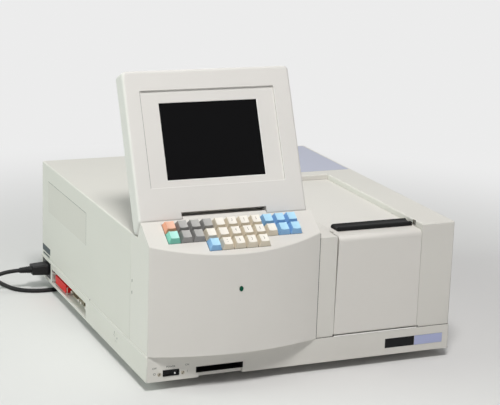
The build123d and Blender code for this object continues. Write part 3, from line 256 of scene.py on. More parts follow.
def add_bump(tree, surface, height, distance, strength=1.0):
    bump = tree.nodes.new("ShaderNodeBump")
    bump.inputs["Distance"].default_value = distance
    bump.inputs["Strength"].default_value = strength
    tree.links.new(height, bump.inputs["Height"])
    tree.links.new(bump.outputs["Normal"], surface.inputs["Normal"])


def tinted(tree, color, factor):
    """The plain colour multiplied by a value that varies over the surface."""
    scale = tree.nodes.new("ShaderNodeVectorMath")
    scale.operation = "SCALE"
    scale.inputs[0].default_value = color
    tree.links.new(factor, scale.inputs["Scale"])
    return scale.outputs[0]


def mixed(tree, factor, first, second):
    """Colour that goes from the first to the second as the factor rises."""
    mix = tree.nodes.new("ShaderNodeMix")
    mix.data_type = "RGBA"
    tree.links.new(factor, mix.inputs["Factor"])
    for index, value in ((6, first), (7, second)):
        if isinstance(value, tuple):
            mix.inputs[index].default_value = (*value, 1.0)
        else:
            tree.links.new(value, mix.inputs[index])
    return mix.outputs[2]


def varied(tree, surface, mask, low, high):
    """Roughness that follows a mask."""
    ramp = tree.nodes.new("ShaderNodeMapRange")
    ramp.inputs["To Min"].default_value = low
    ramp.inputs["To Max"].default_value = high
    tree.links.new(mask, ramp.inputs["Value"])
    tree.links.new(ramp.outputs["Result"], surface.inputs["Roughness"])


def case_plastic(name, color, soil=0.10, grain=1100.0, tone=0.05, depth=0.00006):
    material, tree, surface = blank_material(name, color, 0.55)
    grains = place_group(tree, moulded_grain, Grain_Size=grain, Patch_Size=7.0, Tone_Range=tone)
    wear = place_group(tree, hand_wear, Low=0.015, High=0.12, Amount=soil)
    even = tinted(tree, color, grains.outputs["Tone"])
    soiled = mixed(tree, wear.outputs["Soil"], even, (0.34, 0.31, 0.26))
    tree.links.new(soiled, surface.inputs["Base Color"])
    varied(tree, surface, grains.outputs["Mask"], 0.48, 0.62)
    add_bump(tree, surface, grains.outputs["Height"], depth, 0.5)
    return material


def dark_plastic(name, color, low=0.35, high=0.5, grain=1400.0, depth=0.00004):
    material, tree, surface = blank_material(name, color, low)
    grains = place_group(tree, moulded_grain, Grain_Size=grain, Patch_Size=30.0, Tone_Range=0.3)
    tree.links.new(tinted(tree, color, grains.outputs["Tone"]), surface.inputs["Base Color"])
    varied(tree, surface, grains.outputs["Mask"], low, high)
    surface.inputs["Specular IOR Level"].default_value = 0.2
    add_bump(tree, surface, grains.outputs["Height"], depth, 0.5)
    return material


def metal(name, color, low=0.25, high=0.42, across=1400.0, along=40.0, depth=0.00003):
    material, tree, surface = blank_material(name, color, low, 1.0)
    lines = place_group(tree, brushed_lines, Across=across, Along=along)
    grains = place_group(tree, moulded_grain, Grain_Size=500.0, Patch_Size=40.0, Tone_Range=0.16)
    tree.links.new(tinted(tree, color, grains.outputs["Tone"]), surface.inputs["Base Color"])
    varied(tree, surface, lines.outputs["Height"], low, high)
    add_bump(tree, surface, lines.outputs["Height"], depth, 0.4)
    return material


def key_plastic(name, top, side):
    """Key cap plastic with painted shade: the skirt, turned away from the slope, is painted a deeper tone
    than the touched top.
    """
    material, tree, surface = blank_material(name, top, 0.42)
    where = tree.nodes.new("ShaderNodeTexCoord")
    facing_up = tree.nodes.new("ShaderNodeVectorMath")
    facing_up.operation = "DOT_PRODUCT"
    facing_up.inputs[1].default_value = (0.0, -sin(slope_angle), cos(slope_angle))
    tree.links.new(where.outputs["Normal"], facing_up.inputs[0])
    ramp = tree.nodes.new("ShaderNodeMapRange")
    ramp.inputs["From Min"].default_value = 0.70
    ramp.inputs["From Max"].default_value = 0.94
    tree.links.new(facing_up.outputs["Value"], ramp.inputs["Value"])
    grains = place_group(tree, moulded_grain, Grain_Size=2200.0, Patch_Size=60.0, Tone_Range=0.06)
    # Painted shade: faces that turn from the slope's normal take the darker side colour
    shaded_skirt = tinted(tree, side, grains.outputs["Tone"])
    crown = tinted(tree, top, grains.outputs["Tone"])
    tree.links.new(mixed(tree, ramp.outputs["Result"], shaded_skirt, crown), surface.inputs["Base Color"])
    varied(tree, surface, grains.outputs["Mask"], 0.36, 0.5)
    add_bump(tree, surface, grains.outputs["Height"], 0.00004, 0.4)
    return material


def glass_front(name, color):
    material, tree, surface = blank_material(name, color, 0.08)
    grains = place_group(tree, moulded_grain, Grain_Size=60.0, Patch_Size=14.0, Tone_Range=0.4)
    tree.links.new(tinted(tree, color, grains.outputs["Tone"]), surface.inputs["Base Color"])
    varied(tree, surface, grains.outputs["Mask"], 0.06, 0.16)
    surface.inputs["Specular IOR Level"].default_value = 0.08
    return material


finishes = {
    "case": case_plastic("case_plastic", (0.70, 0.685, 0.645)),
    "case_light": case_plastic("console_plastic", (0.72, 0.70, 0.665), soil=0.05),
    "display": case_plastic("display_plastic", (0.73, 0.715, 0.69), soil=0.0),
    "screen": glass_front("screen_glass", (0.0025, 0.0025, 0.003)),
    "black_plastic": dark_plastic("black_plastic", (0.005, 0.005, 0.005), 0.5, 0.64),
    "black_gloss": dark_plastic("smooth_black_plastic", (0.006, 0.006, 0.007), 0.3, 0.42),
    "rail": metal("rail_aluminium", (0.62, 0.62, 0.63)),
    "black_coat": dark_plastic("black_coating", (0.018, 0.018, 0.018), 0.55, 0.7),
    "black_metal": metal("black_anodised", (0.035, 0.035, 0.038), 0.3, 0.45),
    # The second colour of each key is the painted shade of its skirt
    "key_orange": key_plastic("key_orange", (0.84, 0.49, 0.36), (0.74, 0.34, 0.22)),
    "key_grey": key_plastic("key_grey", (0.43, 0.425, 0.415), (0.29, 0.285, 0.28)),
    "key_cream": key_plastic("key_cream", (0.88, 0.84, 0.77), (0.73, 0.66, 0.54)),
    "key_blue": key_plastic("key_blue", (0.44, 0.73, 0.94), (0.25, 0.48, 0.78)),
    "key_mint": key_plastic("key_mint", (0.45, 0.83, 0.75), (0.19, 0.56, 0.45)),
    "green_lens": glass_front("green_lens", (0.004, 0.085, 0.045)),
    "socket_metal": metal("passivated_plating", (0.80, 0.73, 0.55), 0.3, 0.5),
    "wire": metal("spring_wire", (0.66, 0.65, 0.62), 0.2, 0.32),
    "red_cap": dark_plastic("red_cap_plastic", (0.68, 0.010, 0.008), 0.3, 0.42),
    "casting": metal("dull_casting", (0.42, 0.42, 0.43), 0.5, 0.65, 300.0, 300.0),
    "steel": metal("laminated_steel", (0.42, 0.42, 0.43), 0.3, 0.5),
    "board": dark_plastic("board_lacquer", (0.016, 0.10, 0.04), 0.3, 0.42),
    "rubber": dark_plastic("moulded_rubber", (0.022, 0.022, 0.022), 0.6, 0.78),
    "lead": dark_plastic("lead_sheath", (0.016, 0.016, 0.017), 0.42, 0.58),
}

# The frame's nodes wear their slot's finish, but the hinge block is of the console's plastic
slot_of = {entry["node"]: entry["material_slot"] for entry in frame["record"]["subparts"]}
for name, node in nodes.items():
    node.data.materials.clear()
    node.data.materials.append(finishes["case_light" if name == "hinge_block" else slot_of[name]])

# Finishes of the pieces that only this script makes
legend_ink = dark_plastic("key_legend_ink", (0.10, 0.06, 0.05), 0.5, 0.6)
panel_ink = dark_plastic("panel_print_ink", (0.05, 0.06, 0.058), 0.5, 0.6)
white_mark = dark_plastic("white_mark_paint", (0.80, 0.80, 0.78), 0.4, 0.5)
# Lavender colour that paints a reflection on the deck
lavender = case_plastic("lavender_painted_reflection", (0.47, 0.49, 0.60), soil=0.0, tone=0.03, depth=0.00002)
badge_lavender = case_plastic("badge_lavender", (0.42, 0.46, 0.69), soil=0.0, tone=0.04,
                              depth=0.00002)
plate_plastic = case_plastic("side_plate_plastic", (0.66, 0.64, 0.60), soil=0.04)
# Pale plastic that paints light: highlights along edges and a lit look on the socket pocket's floor
painted_light_plastic = case_plastic("painted_light_plastic", (0.86, 0.85, 0.83), soil=0.0)
plate_shadow = dark_plastic("plate_shadow_line", (0.22, 0.23, 0.22), 0.6, 0.7)
label_grey = dark_plastic("label_film", (0.055, 0.075, 0.085), 0.35, 0.5)
# Near black for painted shade in gaps, slots and holes, and for dark specks
painted_shade_and_specks = dark_plastic("painted_shade_and_dark_specks", (0.02, 0.02, 0.02), 0.7, 0.8)
catch_grey = dark_plastic("catch_plastic", (0.16, 0.16, 0.15), 0.5, 0.6)
pin_gold = metal("contact_gold", (0.75, 0.55, 0.25), 0.2, 0.3)
bright_metal = metal("bright_plating", (0.85, 0.83, 0.78), 0.2, 0.34)
screw_metal = metal("screw_plating", (0.50, 0.46, 0.38), 0.25, 0.4)


# Rounded moulded edges on the frame's nodes
weld_distance = 0.01
key_round = 0.4
key_fold = 40.0
case_fold = 38.0
case_rounds = {"main_cover": 1.0, "base_pan": 0.6, "sample_door": 0.5, "sample_lid": 0.5,
               "power_rocker": 0.3, "port_cap": 0.6, "lid_grip": 0.6}


def soften(name, width, angle, harden=False):
    """Join a node's loose triangles and round each edge that folds by more than the angle."""
    node = nodes[name]
    join = node.modifiers.new("join", "WELD")
    join.merge_threshold = weld_distance * mm
    edge = node.modifiers.new("edge", "BEVEL")
    edge.width = width * mm
    edge.segments = 2
    edge.limit_method = "ANGLE"
    edge.angle_limit = radians(angle)
    edge.harden_normals = harden


key_names = sorted(name for name in nodes if name.startswith("key_") and name != "key_board")
for name in key_names:
    soften(name, key_round, key_fold)
for name, width in case_rounds.items():
    soften(name, width, case_fold, harden=True)


# New pieces
def finish_piece(name, mesh, material, body):
    mesh.materials.clear()
    mesh.materials.append(material)
    piece = bpy.data.objects.new(name, mesh)
    bpy.context.scene.collection.objects.link(piece)
    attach(piece, body)


def from_bmesh(name, shape, material, body):
    """Piece of a shape, with its corners and faces in an order that is the same in every run."""
    bmesh.ops.remove_doubles(shape, verts=shape.verts, dist=1e-7)
    bmesh.ops.recalc_face_normals(shape, faces=shape.faces)
    corners = sorted(shape.verts, key=lambda vert: tuple(vert.co))
    number_of = {vert: number for number, vert in enumerate(corners)}
    faces = []
    for face in shape.faces:
        numbers = [number_of[vert] for vert in face.verts]
        start = numbers.index(min(numbers))
        faces.append(numbers[start:] + numbers[:start])
    mesh = bpy.data.meshes.new(name)
    mesh.from_pydata([vert.co for vert in corners], [], sorted(faces))
    shape.free()
    finish_piece(name, mesh, material, body)


def round_edges(shape, fresh, lines, radius):
    """Round some edges of a new form, and return all the corners that it has then."""
    done = bmesh.ops.bevel(shape, geom=lines, offset=radius * mm, segments=2, profile=0.5,
                           affect="EDGES", material=-1)
    rounded = {vert for face in done["faces"] for vert in face.verts}
    return list(rounded | {vert for vert in fresh if vert.is_valid})


def add_block(shape, matrix, size, edge=0.0):
    """Block in a shape: x and y centred, standing on the surface, its edges rounded."""
    fresh = bmesh.ops.create_cube(shape, size=1.0)["verts"]
    bmesh.ops.scale(shape, vec=[side * mm for side in size], verts=fresh)
    bmesh.ops.translate(shape, vec=(0, 0, size[2] * mm / 2), verts=fresh)
    if edge:
        lines = list({line for vert in fresh for line in vert.link_edges})
        fresh = round_edges(shape, fresh, lines, edge)
    bmesh.ops.transform(shape, matrix=matrix, verts=fresh)


def add_disc(shape, matrix, radius, height, edge=0.0, sides=20):
    """Disc in a shape: centred, standing on the surface, its upper rim rounded."""
    fresh = bmesh.ops.create_cone(shape, cap_ends=True, segments=sides, radius1=radius * mm,
                                  radius2=radius * mm, depth=height * mm)["verts"]
    bmesh.ops.translate(shape, vec=(0, 0, height * mm / 2), verts=fresh)
    if edge:
        near_top = height * mm * 0.99
        lines = {line for vert in fresh for line in vert.link_edges}
        rim = [line for line in lines if all(vert.co.z > near_top for vert in line.verts)]
        fresh = round_edges(shape, fresh, rim, edge)
    bmesh.ops.transform(shape, matrix=matrix, verts=fresh)


def block_piece(name, blocks, material, body):
    """One piece of several blocks, each given by its place, its size and how far it is rounded."""
    shape = bmesh.new()
    for block in blocks:
        add_block(shape, *block)
    from_bmesh(name, shape, material, body)


def middle(low, high):
    return [(first + second) / 2 for first, second in zip(low, high)]


# Size of the font for capitals one unit tall
font_scale = 1.38


def lettering(name, text, height, matrix, material, body, thick):
    """Raised print: a text turned into a mesh and set on a surface."""
    curve = bpy.data.curves.new(name, "FONT")
    curve.body = text
    curve.size = height * mm * font_scale
    curve.align_x = "CENTER"
    curve.align_y = "CENTER"
    curve.extrude = thick * mm / 2
    curve.resolution_u = 3
    writer = bpy.data.objects.new(name + "_text", curve)
    bpy.context.scene.collection.objects.link(writer)
    bpy.context.view_layer.update()
    mesh = bpy.data.meshes.new_from_object(writer)
    bpy.data.objects.remove(writer)
    bpy.data.curves.remove(curve)
    mesh.transform(matrix @ Matrix.Translation((0, 0, thick * mm / 2)))
    mesh.name = name
    finish_piece(name, mesh, material, body)


# Key legends: plain digits only, by column and row
digits = {(5, 0): "7", (6, 0): "8", (7, 0): "9", (5, 1): "4", (6, 1): "5", (7, 1): "6",
          (4, 2): "0", (5, 2): "1", (6, 2): "2", (7, 2): "3"}
legend_height = 5.2
legend_raise = 0.9
legend_sink = 0.06
legend_thick = 0.12
key_order = [(column, row) for row in range(2) for column in range(key_columns)]
key_order += [(column, 2) for column in range(short_first, short_first + short_count)]
for number, (column, row) in enumerate(key_order, start=1):
    if (column, row) in digits:
        key_x = key_left + key_pitch * (column + 0.5)
        key_up = key_first_row - key_pitch * (row - 0.5)
        matrix = on_slope(key_x, key_up + legend_raise, key_top - legend_sink)
        lettering(f"legend_{number:02d}", digits[column, row], legend_height, matrix, legend_ink,
                  f"key_{number:02d}", legend_thick)

# Painted highlights: pale strips on the edges of the display's recess and of its mask; painted shade: a
# dark strip on the recess's left edge
recess_low, recess_high = (24.0, 47.9), (236.2, 192.3)
recess_mid = middle(recess_low, recess_high)
recess_wide, recess_tall = recess_high[0] - recess_low[0], recess_high[1] - recess_low[1]
recess_highlight = 0.8
recess_thick = 0.14
recess_round = 0.06
mask_low, mask_high = (51.9, 57.5), (208.7, 173.5)
mask_mid = middle(mask_low, mask_high)
mask_wide, mask_tall = mask_high[0] - mask_low[0], mask_high[1] - mask_low[1]
mask_foot = 1.0
mask_side = 1.6
mask_thick = 0.8
mask_round = 0.1
mask_deep = 4.4
block_piece("display_highlights", [
    (on_display(recess_mid[0], recess_low[1] - recess_highlight / 2), (recess_wide, recess_highlight, recess_thick),
     recess_round),
    (on_display(recess_high[0] + recess_highlight / 2, recess_mid[1]), (recess_highlight, recess_tall, recess_thick),
     recess_round),
    (on_display(mask_mid[0], mask_low[1] + mask_foot / 2, -mask_deep), (mask_wide, mask_foot, mask_thick),
     mask_round),
    (on_display(mask_high[0] - mask_side / 2, mask_mid[1], -mask_deep), (mask_side, mask_tall, mask_thick),
     mask_round),
], painted_light_plastic, "display")
shade_wide = 0.5
shade_thick = 0.06
block_piece("display_recess_shade", [
    (on_display(recess_low[0] - shade_wide / 2, recess_mid[1]), (shade_wide, recess_tall, shade_thick)),
], plate_shadow, "display")

# Pale fairing that carries the key deck on into the display's notch, in front of the hinge barrel
barrel_left, barrel_right = 66.2, 198.7
fairing_gap = 0.3
fairing_foot = 46.4
fairing_reach = 6.4
fairing_thick = 2.2
fairing_round = 0.4
fairing_wide = barrel_right - barrel_left - 2 * fairing_gap
block_piece("hinge_fairing", [
    (on_slope((barrel_left + barrel_right) / 2, fairing_foot + fairing_reach / 2, -fairing_thick),
     (fairing_wide, fairing_reach, fairing_thick), fairing_round),
], finishes["case_light"], "chassis")

# Print round the power switch
word_height = 2.9
sign_height = 3.8
print_thick = 0.05
for label, words, height, x, z in (("off", "OFF", word_height, 12.3, 20.7),
                                   ("power", "POWER", word_height, 37.5, 21.4),
                                   ("on", "ON", word_height, 63.0, 21.6),
                                   ("zero", "O", sign_height, 12.5, 12.0),
                                   ("one", "I", sign_height, 63.3, 11.5)):
    lettering("print_" + label, words, height, on_front(x, z), panel_ink, "chassis", print_thick)

# Slotted screws of the power switch
screw_spots = ((19.9, 10.9), (56.4, 10.2))
screw_radius = 2.9
screw_tall = 0.6
screw_sink = 0.05
screw_round = 0.3
slot_size = (4.6, 1.0, 0.06)
slot_turn = Matrix.Rotation(radians(60), 4, "Z")
screws = bmesh.new()
for x, z in screw_spots:
    add_disc(screws, on_front(x, z, screw_sink), screw_radius, screw_tall, screw_round, sides=24)
from_bmesh("switch_screws", screws, screw_metal, "chassis")
# Painted shade: dark sheets on the screw heads stand for their slots
block_piece("switch_screw_slot_shade", [
    (on_front(x, z, slot_size[2] - screw_tall) @ slot_turn, slot_size) for x, z in screw_spots
], painted_shade_and_specks, "chassis")

# White dot on the rocker's raised half
rocker_low, rocker_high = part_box("power_rocker")
dot_x = 43.7
dot_drop = 0.8
dot_behind = 1.8
dot_radius = 1.3
dot_thick = 0.75
dot_round = 0.2
dot_lean = Matrix.Rotation(radians(-24.3), 4, "Y")
dot_place = on_front(dot_x, from_base((rocker_low.z + rocker_high.z) / 2) - dot_drop,
                     from_front(rocker_low.y) + dot_behind)
dot = bmesh.new()
add_disc(dot, dot_place @ dot_lean, dot_radius, dot_thick, dot_round)
from_bmesh("rocker_dot", dot, white_mark, "rocker")

# Bare badge in its recess: a black field and a lavender one
badge_z = 18.3
badge_sink = 0.8
badge_tall = 15.0
badge_thick = 0.6
badge_round = 0.25
for name, x, wide, finish in (("badge_black", 413.6, 50.8, finishes["black_gloss"]),
                              ("badge_lavender", 463.9, 48.8, badge_lavender)):
    field = (on_front(x, badge_z, badge_sink), (wide, badge_tall, badge_thick), badge_round)
    block_piece(name, [field], finish, "chassis")

# Two bare labels on the left side
label_y = 527.0
label_thick = 0.25
label_round = 0.1
block_piece("side_labels", [
    (on_left(label_y, z, cover_inset), (wide, tall, label_thick), label_round)
    for z, wide, tall in ((53.5, 46.0, 11.0), (43.6, 38.0, 3.2))
], label_grey, "chassis")

# Plate in the recess of the left side, in two lengths, with a painted shadow above and before it and a
# painted highlight below
plate_low, plate_high = 123.5, 176.5
plate_z = (plate_low + plate_high) / 2
plate_tall = plate_high - plate_low
plate_ends = ((299.6, 434.6), (435.4, 516.4))
plate_front, plate_rear = plate_ends[0][0], plate_ends[1][1]
plate_sink = 1.7
plate_thick = 0.72
plate_round = 0.05
line_wide = 0.8
line_sink = 1.2
line_thick = 0.22
highlight_thick = 0.26
highlight_round = 0.1
block_piece("side_plate", [
    (on_left((near + far) / 2, plate_z, plate_sink), (far - near, plate_tall, plate_thick), plate_round)
    for near, far in plate_ends
], plate_plastic, "chassis")
shadow_lines = [
    (on_left((near + far) / 2, plate_high + line_wide / 2, line_sink), (far - near, line_wide, line_thick))
    for near, far in plate_ends
]
shadow_lines.append((on_left(plate_front - line_wide / 2, plate_z, line_sink),
                     (line_wide, plate_tall, line_thick)))
block_piece("side_plate_shadow", shadow_lines, plate_shadow, "chassis")
# The display's paler plastic paints the highlight below the plate
block_piece("side_plate_highlight", [
    (on_left((plate_front + plate_rear) / 2, plate_low - line_wide / 2, line_sink),
     (plate_rear - plate_front, line_wide, highlight_thick), highlight_round),
], finishes["display"], "chassis")

# Small dark marks on the left side: specks on the base, and a hole on the seam and two clip slots whose
# dark is painted shade
specks = ((147.3, 28.6, 1.0, 4.0), (149.6, 24.4, 1.2, 1.6), (146.0, 23.2, 1.0, 1.2),
          (134.8, 22.9, 1.4, 3.0), (142.0, 16.5, 1.0, 1.0))
speck_thick = 0.06
speck_round = 0.02
hole_y, hole_z = 276.0, 39.5
hole_radius = 1.6
hole_thick = 0.1
clip_y = 71.4
clip_heights = (116.0, 134.0)
clip_size = (1.6, 4.5, 0.1)
clip_round = 0.04
marks = bmesh.new()
for y, z, wide, tall in specks:
    add_block(marks, on_left(y, z), (wide, tall, speck_thick), speck_round)
add_disc(marks, on_left(hole_y, hole_z, cover_inset), hole_radius, hole_thick)
for z in clip_heights:
    add_block(marks, on_left(clip_y, z, cover_inset), clip_size, clip_round)
from_bmesh("side_marks", marks, painted_shade_and_specks, "chassis")

# Painted shadow: dark lines where the cover meets the console and the base, and dark spots at the door's
# lower corners.
# The frame's box of the door takes in its two pintles.
console_end = from_left(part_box("console_housing")[1].x)
cover_end = from_left(cover_high.x)
cover_foot = from_base(cover_low.z)
deck_height = from_base(deck)
pintle_reach = 2.4
door_start = from_left(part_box("sample_door")[0].x) + pintle_reach
door_end = from_left(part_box("sample_door")[1].x) - pintle_reach
shade_line_wide = 0.7
shade_line_thick = 0.04
below_deck = 1.5
before_end = 1.0
shade_line_low, shade_line_high = cover_foot - 0.2, cover_foot + 0.5
corner_low, corner_high = cover_foot + 0.9, cover_foot + 3.2
corner_half = 0.8
corner_away = 0.5


def shade_line(x_low, x_high, z_low, z_high):
    return (on_front((x_low + x_high) / 2, (z_low + z_high) / 2),
            (x_high - x_low, z_high - z_low, shade_line_thick))


shade_lines = [
    shade_line(console_end, console_end + shade_line_wide, cover_foot, deck_height - below_deck),
    shade_line(console_end + shade_line_wide, door_start, shade_line_low, shade_line_high),
    shade_line(door_end, cover_end - before_end, shade_line_low, shade_line_high),
]
for x in (door_start - corner_away, door_end + corner_away):
    shade_lines.append(shade_line(x - corner_half, x + corner_half, corner_low, corner_high))
block_piece("cover_shade_lines", shade_lines, painted_shade_and_specks, "chassis")

# Pale sill along the base under the door, clear of the door's swing; its pale plastic paints the highlight
# along the base's edge
sill_z = 39.35
sill_sink = 0.85
sill_short = 1.6
sill_tall = 2.0
sill_thick = 1.35
sill_round = 0.5
block_piece("door_sill", [
    (on_front((door_start + door_end) / 2, sill_z, sill_sink),
     (door_end - door_start - sill_short, sill_tall, sill_thick), sill_round),
], painted_light_plastic, "chassis")

# Lid catch on the right wall of the recess
catch_z = 201.0
catch_size = (3.4, 8.0, 0.6)
catch_round = 0.2
for name, y, finish in (("catch_bar", 24.4, catch_grey), ("catch_plate", 29.0, screw_metal)):
    block_piece(name, [(on_left(y, catch_z, door_end), catch_size, catch_round)], finish, "chassis")

# Contact fields of the two D-shaped sockets: dark insulators with two rows of gold pins
socket_low, socket_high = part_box("serial_ports")
socket_z = from_base((socket_low.z + socket_high.z) / 2)
insert_sink = 8.4
insert_short = 3.2
insert_tall = 6.4
insert_thick = 0.5
insert_round = 0.2
contact_pitch = 2.76
contact_row = 1.4
contact_radius = 0.55
contact_tall = 0.5
contact_out = 0.4
inserts = bmesh.new()
contacts = bmesh.new()
for y, shell, count in ((372.0, 39.0, 13), (322.0, 17.0, 5)):
    face = on_left(y, socket_z, insert_sink)
    add_block(inserts, face, (shell - insert_short, insert_tall, insert_thick), insert_round)
    for up, pins in ((contact_row, count), (-contact_row, count - 1)):
        for index in range(pins):
            along = (index - (pins - 1) / 2) * contact_pitch
            spot = face @ Matrix.Translation((along * mm, up * mm, contact_out * mm))
            add_disc(contacts, spot, contact_radius, contact_tall, sides=10)
from_bmesh("socket_inserts", inserts, finishes["black_plastic"], "chassis")

# Bright screw posts of the sockets: the rearmost is short, because the front bail swings past it
post_sink = 9.0
post_radius = 2.5
post_tall = 5.5
short_post = 3.2
post_round = 0.6
posts = bmesh.new()
for y, tall in ((348.7, post_tall), (395.3, short_post), (309.7, post_tall), (334.3, post_tall)):
    add_disc(posts, on_left(y, socket_z, post_sink), post_radius, tall, post_round)
from_bmesh("socket_posts", posts, bright_metal, "chassis")

# The socket pocket's dark back, the gold pins made above and a pale sheet on the pocket's floor that
# paints light over the pocket's shade
pocket_y = 392.5
pocket_deep = 15.0
panel_z = 15.5
panel_size = (190.0, 23.0, 0.4)
panel_round = 0.1
pocket_floor_x, pocket_floor_z = 7.4, 3.02
pocket_floor_size = (13.4, 188.0, 0.12)
block_piece("socket_panel", [(on_left(pocket_y, panel_z, pocket_deep), panel_size, panel_round)],
            finishes["black_coat"], "chassis")
from_bmesh("socket_contacts", contacts, pin_gold, "chassis")
block_piece("pocket_floor", [(on_level(pocket_floor_x, pocket_y, pocket_floor_z), pocket_floor_size)],
            painted_light_plastic, "chassis")

# Ribs on the strain relief of the mains connector, growing with the relief's taper
plug_low, plug_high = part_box("mains_connector")
inlet_y = from_front((plug_low.y + plug_high.y) / 2)
inlet_z = (plug_low.z + plug_high.z) / 2 / mm
rib_count = 5
rib_first = 2.0
rib_pitch = 3.6
rib_radius = 4.9
rib_growth = 0.075
rib_thick = 1.7
rib_round = 0.4
ribs = bmesh.new()
for step in range(rib_count):
    reach = rib_first + rib_pitch * step
    spot = Vector((plug_low.x + reach * mm, front + inlet_y * mm, inlet_z * mm))
    add_disc(ribs, facing(spot, (0, 1, 0), (0, 0, 1)), rib_radius + rib_growth * reach, rib_thick,
             rib_round, sides=28)
from_bmesh("relief_ribs", ribs, finishes["lead"], "chassis")

# Painted reflection: a lavender sheet on the rear right of the deck stands in for the reflection seen
# there
reflection_low, reflection_high = (300.0, 358.8), (494.0, 548.0)
reflection_thick = 0.25
reflection_round = 0.1
block_piece("deck_painted_reflection", [
    (on_level(*middle(reflection_low, reflection_high), deck_height),
     (reflection_high[0] - reflection_low[0], reflection_high[1] - reflection_low[1], reflection_thick), reflection_round),
], lavender, "chassis")

# Mains lead: one spline down to the bench, round a loop, under the casing and into its coil.
# Its heights are above the bench.
cord_diameter = 7.0
coil_radius = 36.0
coil_left = 135.0
coil_behind = 60.0
coil_tail = 32.0
coil_turns = 6.25
coil_steps = 16
crossover = 3
spline_pull = 1.4
floor_z = cord_diameter / 2 + 0.1
casing_depth = from_front(rear)
coil_start = coil_left - coil_radius - cord_diameter
coil_middle = casing_depth + coil_behind
cord_points = [
    (from_left(plug_low.x), inlet_y, inlet_z),
    (-76.0, inlet_y, inlet_z),
    (-104.0, 521.5, 23.0),
    (-132.5, 523.0, 7.0),
    (-155.7, 545.5, floor_z),
    (-155.0, 578.5, floor_z),
    (-132.5, 601.7, floor_z),
    (-99.5, 601.0, floor_z),
    (-76.3, 578.5, floor_z),
    (-69.0, 547.0, floor_z),
    (-58.0, 519.0, floor_z),
    (-35.0, 502.0, floor_z),
    (-5.0, 497.0, floor_z),
    (26.0, 502.0, floor_z),
    (53.0, 517.0, floor_z),
    (75.0, 538.0, floor_z),
    (coil_start, 559.0, floor_z),
    (coil_start, coil_middle - coil_tail, floor_z),
]


def coil_points():
    """Three turns inwards on the bench and three outwards on top of them, clockwise from above.

    Each step stands a little wide of its circle, because the spline runs inside its points.
    """
    radii = [coil_radius + cord_diameter * step for step in (1, 0, -1, -1, 0, 1, 1)]
    points = []
    for step in range(int(coil_steps * coil_turns) + 1):
        turn, part = divmod(step, coil_steps)
        shift = max(0.0, (part - (coil_steps - crossover)) / crossover)
        following = radii[min(turn + 1, len(radii) - 1)]
        radius = radii[turn] + (following - radii[turn]) * shift
        level = 0.0 if turn < 2 else (shift if turn == 2 else 1.0)
        angle = pi - 2 * pi * step / coil_steps
        wide = radius / cos(pi / coil_steps / spline_pull)
        points.append((coil_left + wide * cos(angle), coil_middle + wide * sin(angle),
                       floor_z + cord_diameter * level))
    return points


cord_points += coil_points()
for reach in (coil_tail * 0.6, coil_tail + 3.0):
    cord_points.append((coil_left + reach, coil_middle + coil_radius + cord_diameter,
                        floor_z + cord_diameter))


def mains_lead():
    curve = bpy.data.curves.new("mains_lead", "CURVE")
    curve.dimensions = "3D"
    spline = curve.splines.new("NURBS")
    spline.points.add(len(cord_points) - 1)
    for point, (x, y, z) in zip(spline.points, cord_points):
        point.co = (left + x * mm, front + y * mm, z * mm, 1.0)
    spline.order_u = 3
    spline.use_endpoint_u = True
    spline.resolution_u = 6
    curve.bevel_depth = cord_diameter / 2 * mm
    curve.bevel_resolution = 4
    curve.materials.append(finishes["lead"])
    lead = bpy.data.objects.new("mains_lead", curve)
    bpy.context.scene.collection.objects.link(lead)
    return lead


lead = mains_lead()
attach(lead, "chassis")
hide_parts("mains_cord", "mains_coil")


# Floor: within the fade it is lit, and beyond it shows the backdrop's tone to the camera
backdrop_tone = 0.84
floor_tone = 0.72
floor_size = 12.0
fade_start = 0.42
fade_end = 1.35


def seen_rays(tree):
    """One for rays that show the background, nought for rays that light the object."""
    path = tree.nodes.new("ShaderNodeLightPath")
    seen = add_math(tree, "ADD", path.outputs["Is Camera Ray"], path.outputs["Is Glossy Ray"], True)
    return add_math(tree, "ADD", seen, path.outputs["Is Transmission Ray"], True)


def floor_material():
    """Pale matt floor that keeps the shadow near the object and fades into the backdrop."""
    material, tree, surface = blank_material("pale_floor", (floor_tone, floor_tone, floor_tone), 0.9)
    where = tree.nodes.new("ShaderNodeTexCoord")
    reach = tree.nodes.new("ShaderNodeVectorMath")
    reach.operation = "LENGTH"
    tree.links.new(where.outputs["Object"], reach.inputs[0])
    fade = tree.nodes.new("ShaderNodeMapRange")
    fade.interpolation_type = "SMOOTHSTEP"
    fade.inputs["From Min"].default_value = fade_start
    fade.inputs["From Max"].default_value = fade_end
    tree.links.new(reach.outputs["Value"], fade.inputs["Value"])
    glow = tree.nodes.new("ShaderNodeEmission")
    glow.inputs["Color"].default_value = (backdrop_tone, backdrop_tone, backdrop_tone, 1.0)
    share = add_math(tree, "MULTIPLY", fade.outputs["Result"], seen_rays(tree))
    mix = tree.nodes.new("ShaderNodeMixShader")
    tree.links.new(share, mix.inputs["Fac"])
    tree.links.new(surface.outputs["BSDF"], mix.inputs[1])
    tree.links.new(glow.outputs["Emission"], mix.inputs[2])
    tree.links.new(mix.outputs["Shader"], tree.nodes["Material Output"].inputs["Surface"])
    return material


floor_mesh = bpy.data.meshes.new("floor")
floor_shape = bmesh.new()
bmesh.ops.create_grid(floor_shape, x_segments=1, y_segments=1, size=floor_size)
floor_shape.to_mesh(floor_mesh)
floor_shape.free()
floor_mesh.materials.append(floor_material())
floor = bpy.data.objects.new("floor", floor_mesh)
bpy.context.scene.collection.objects.link(floor)


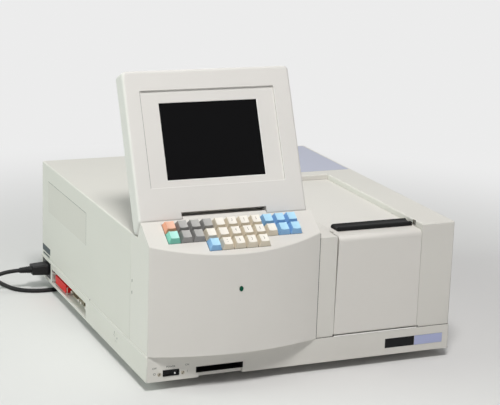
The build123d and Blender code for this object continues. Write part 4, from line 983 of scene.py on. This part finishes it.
# Lamps
def area_light(name, origin, target, size, power, color):
    light = bpy.data.lights.new(name, "AREA")
    light.shape = "SQUARE"
    light.size = size
    light.energy = power
    light.color = color
    holder = bpy.data.objects.new(name, light)
    holder.location = origin
    holder.rotation_euler = (Vector(target) - Vector(origin)).to_track_quat("-Z", "Y").to_euler()
    bpy.context.scene.collection.objects.link(holder)


area_light("key_light", (-0.55, -1.55, 2.75), (0, -0.1, 0.1), size=0.7, power=64.0,
           color=(1.0, 0.985, 0.965))
area_light("left_light", (-2.8, 0.5, 1.2), (-0.2, 0, 0.15), size=1.4, power=35.0,
           color=(0.87, 1.0, 0.90))
area_light("top_light", (0.3, 0.9, 2.8), (0, 0, 0.1), size=1.6, power=10.0,
           color=(1.0, 0.99, 0.97))

# World: dim where it lights the object, pale where it is seen
world_light = 0.17
world = bpy.data.worlds.new("studio")
bpy.context.scene.world = world
world.use_nodes = True
backdrop = world.node_tree.nodes["Background"]
backdrop.inputs["Color"].default_value = (1.0, 1.0, 1.0, 1.0)
seen = seen_rays(world.node_tree)
glow = add_math(world.node_tree, "MULTIPLY", seen, backdrop_tone - world_light)
strength = add_math(world.node_tree, "ADD", glow, world_light)
world.node_tree.links.new(strength, backdrop.inputs["Strength"])

# The photograph's camera
camera_place = (-0.96215, -2.25731, 0.83692)
camera_turn = -23.502
camera_rise = 14.527
camera_roll = 1.980
camera_lens = 112.08
turn, rise, roll = (radians(angle) for angle in (camera_turn, camera_rise, camera_roll))
back = Vector((sin(turn) * cos(rise), -cos(turn) * cos(rise), sin(rise)))
side = (-back).cross(Vector((0, 0, 1))).normalized()
up = side.cross(-back)
across = cos(roll) * side + sin(roll) * up
upright = -sin(roll) * side + cos(roll) * up
camera = bpy.data.cameras.new("camera")
camera.sensor_width = 36.0
camera.lens = camera_lens
camera.clip_start = 0.05
camera.clip_end = 100.0
holder = bpy.data.objects.new("camera", camera)
bpy.context.scene.collection.objects.link(holder)
camera_axes = Matrix((across, upright, back)).transposed().to_4x4()
holder.matrix_world = Matrix.Translation(camera_place) @ camera_axes
bpy.context.scene.camera = holder
bpy.context.scene.view_settings.view_transform = "Standard"
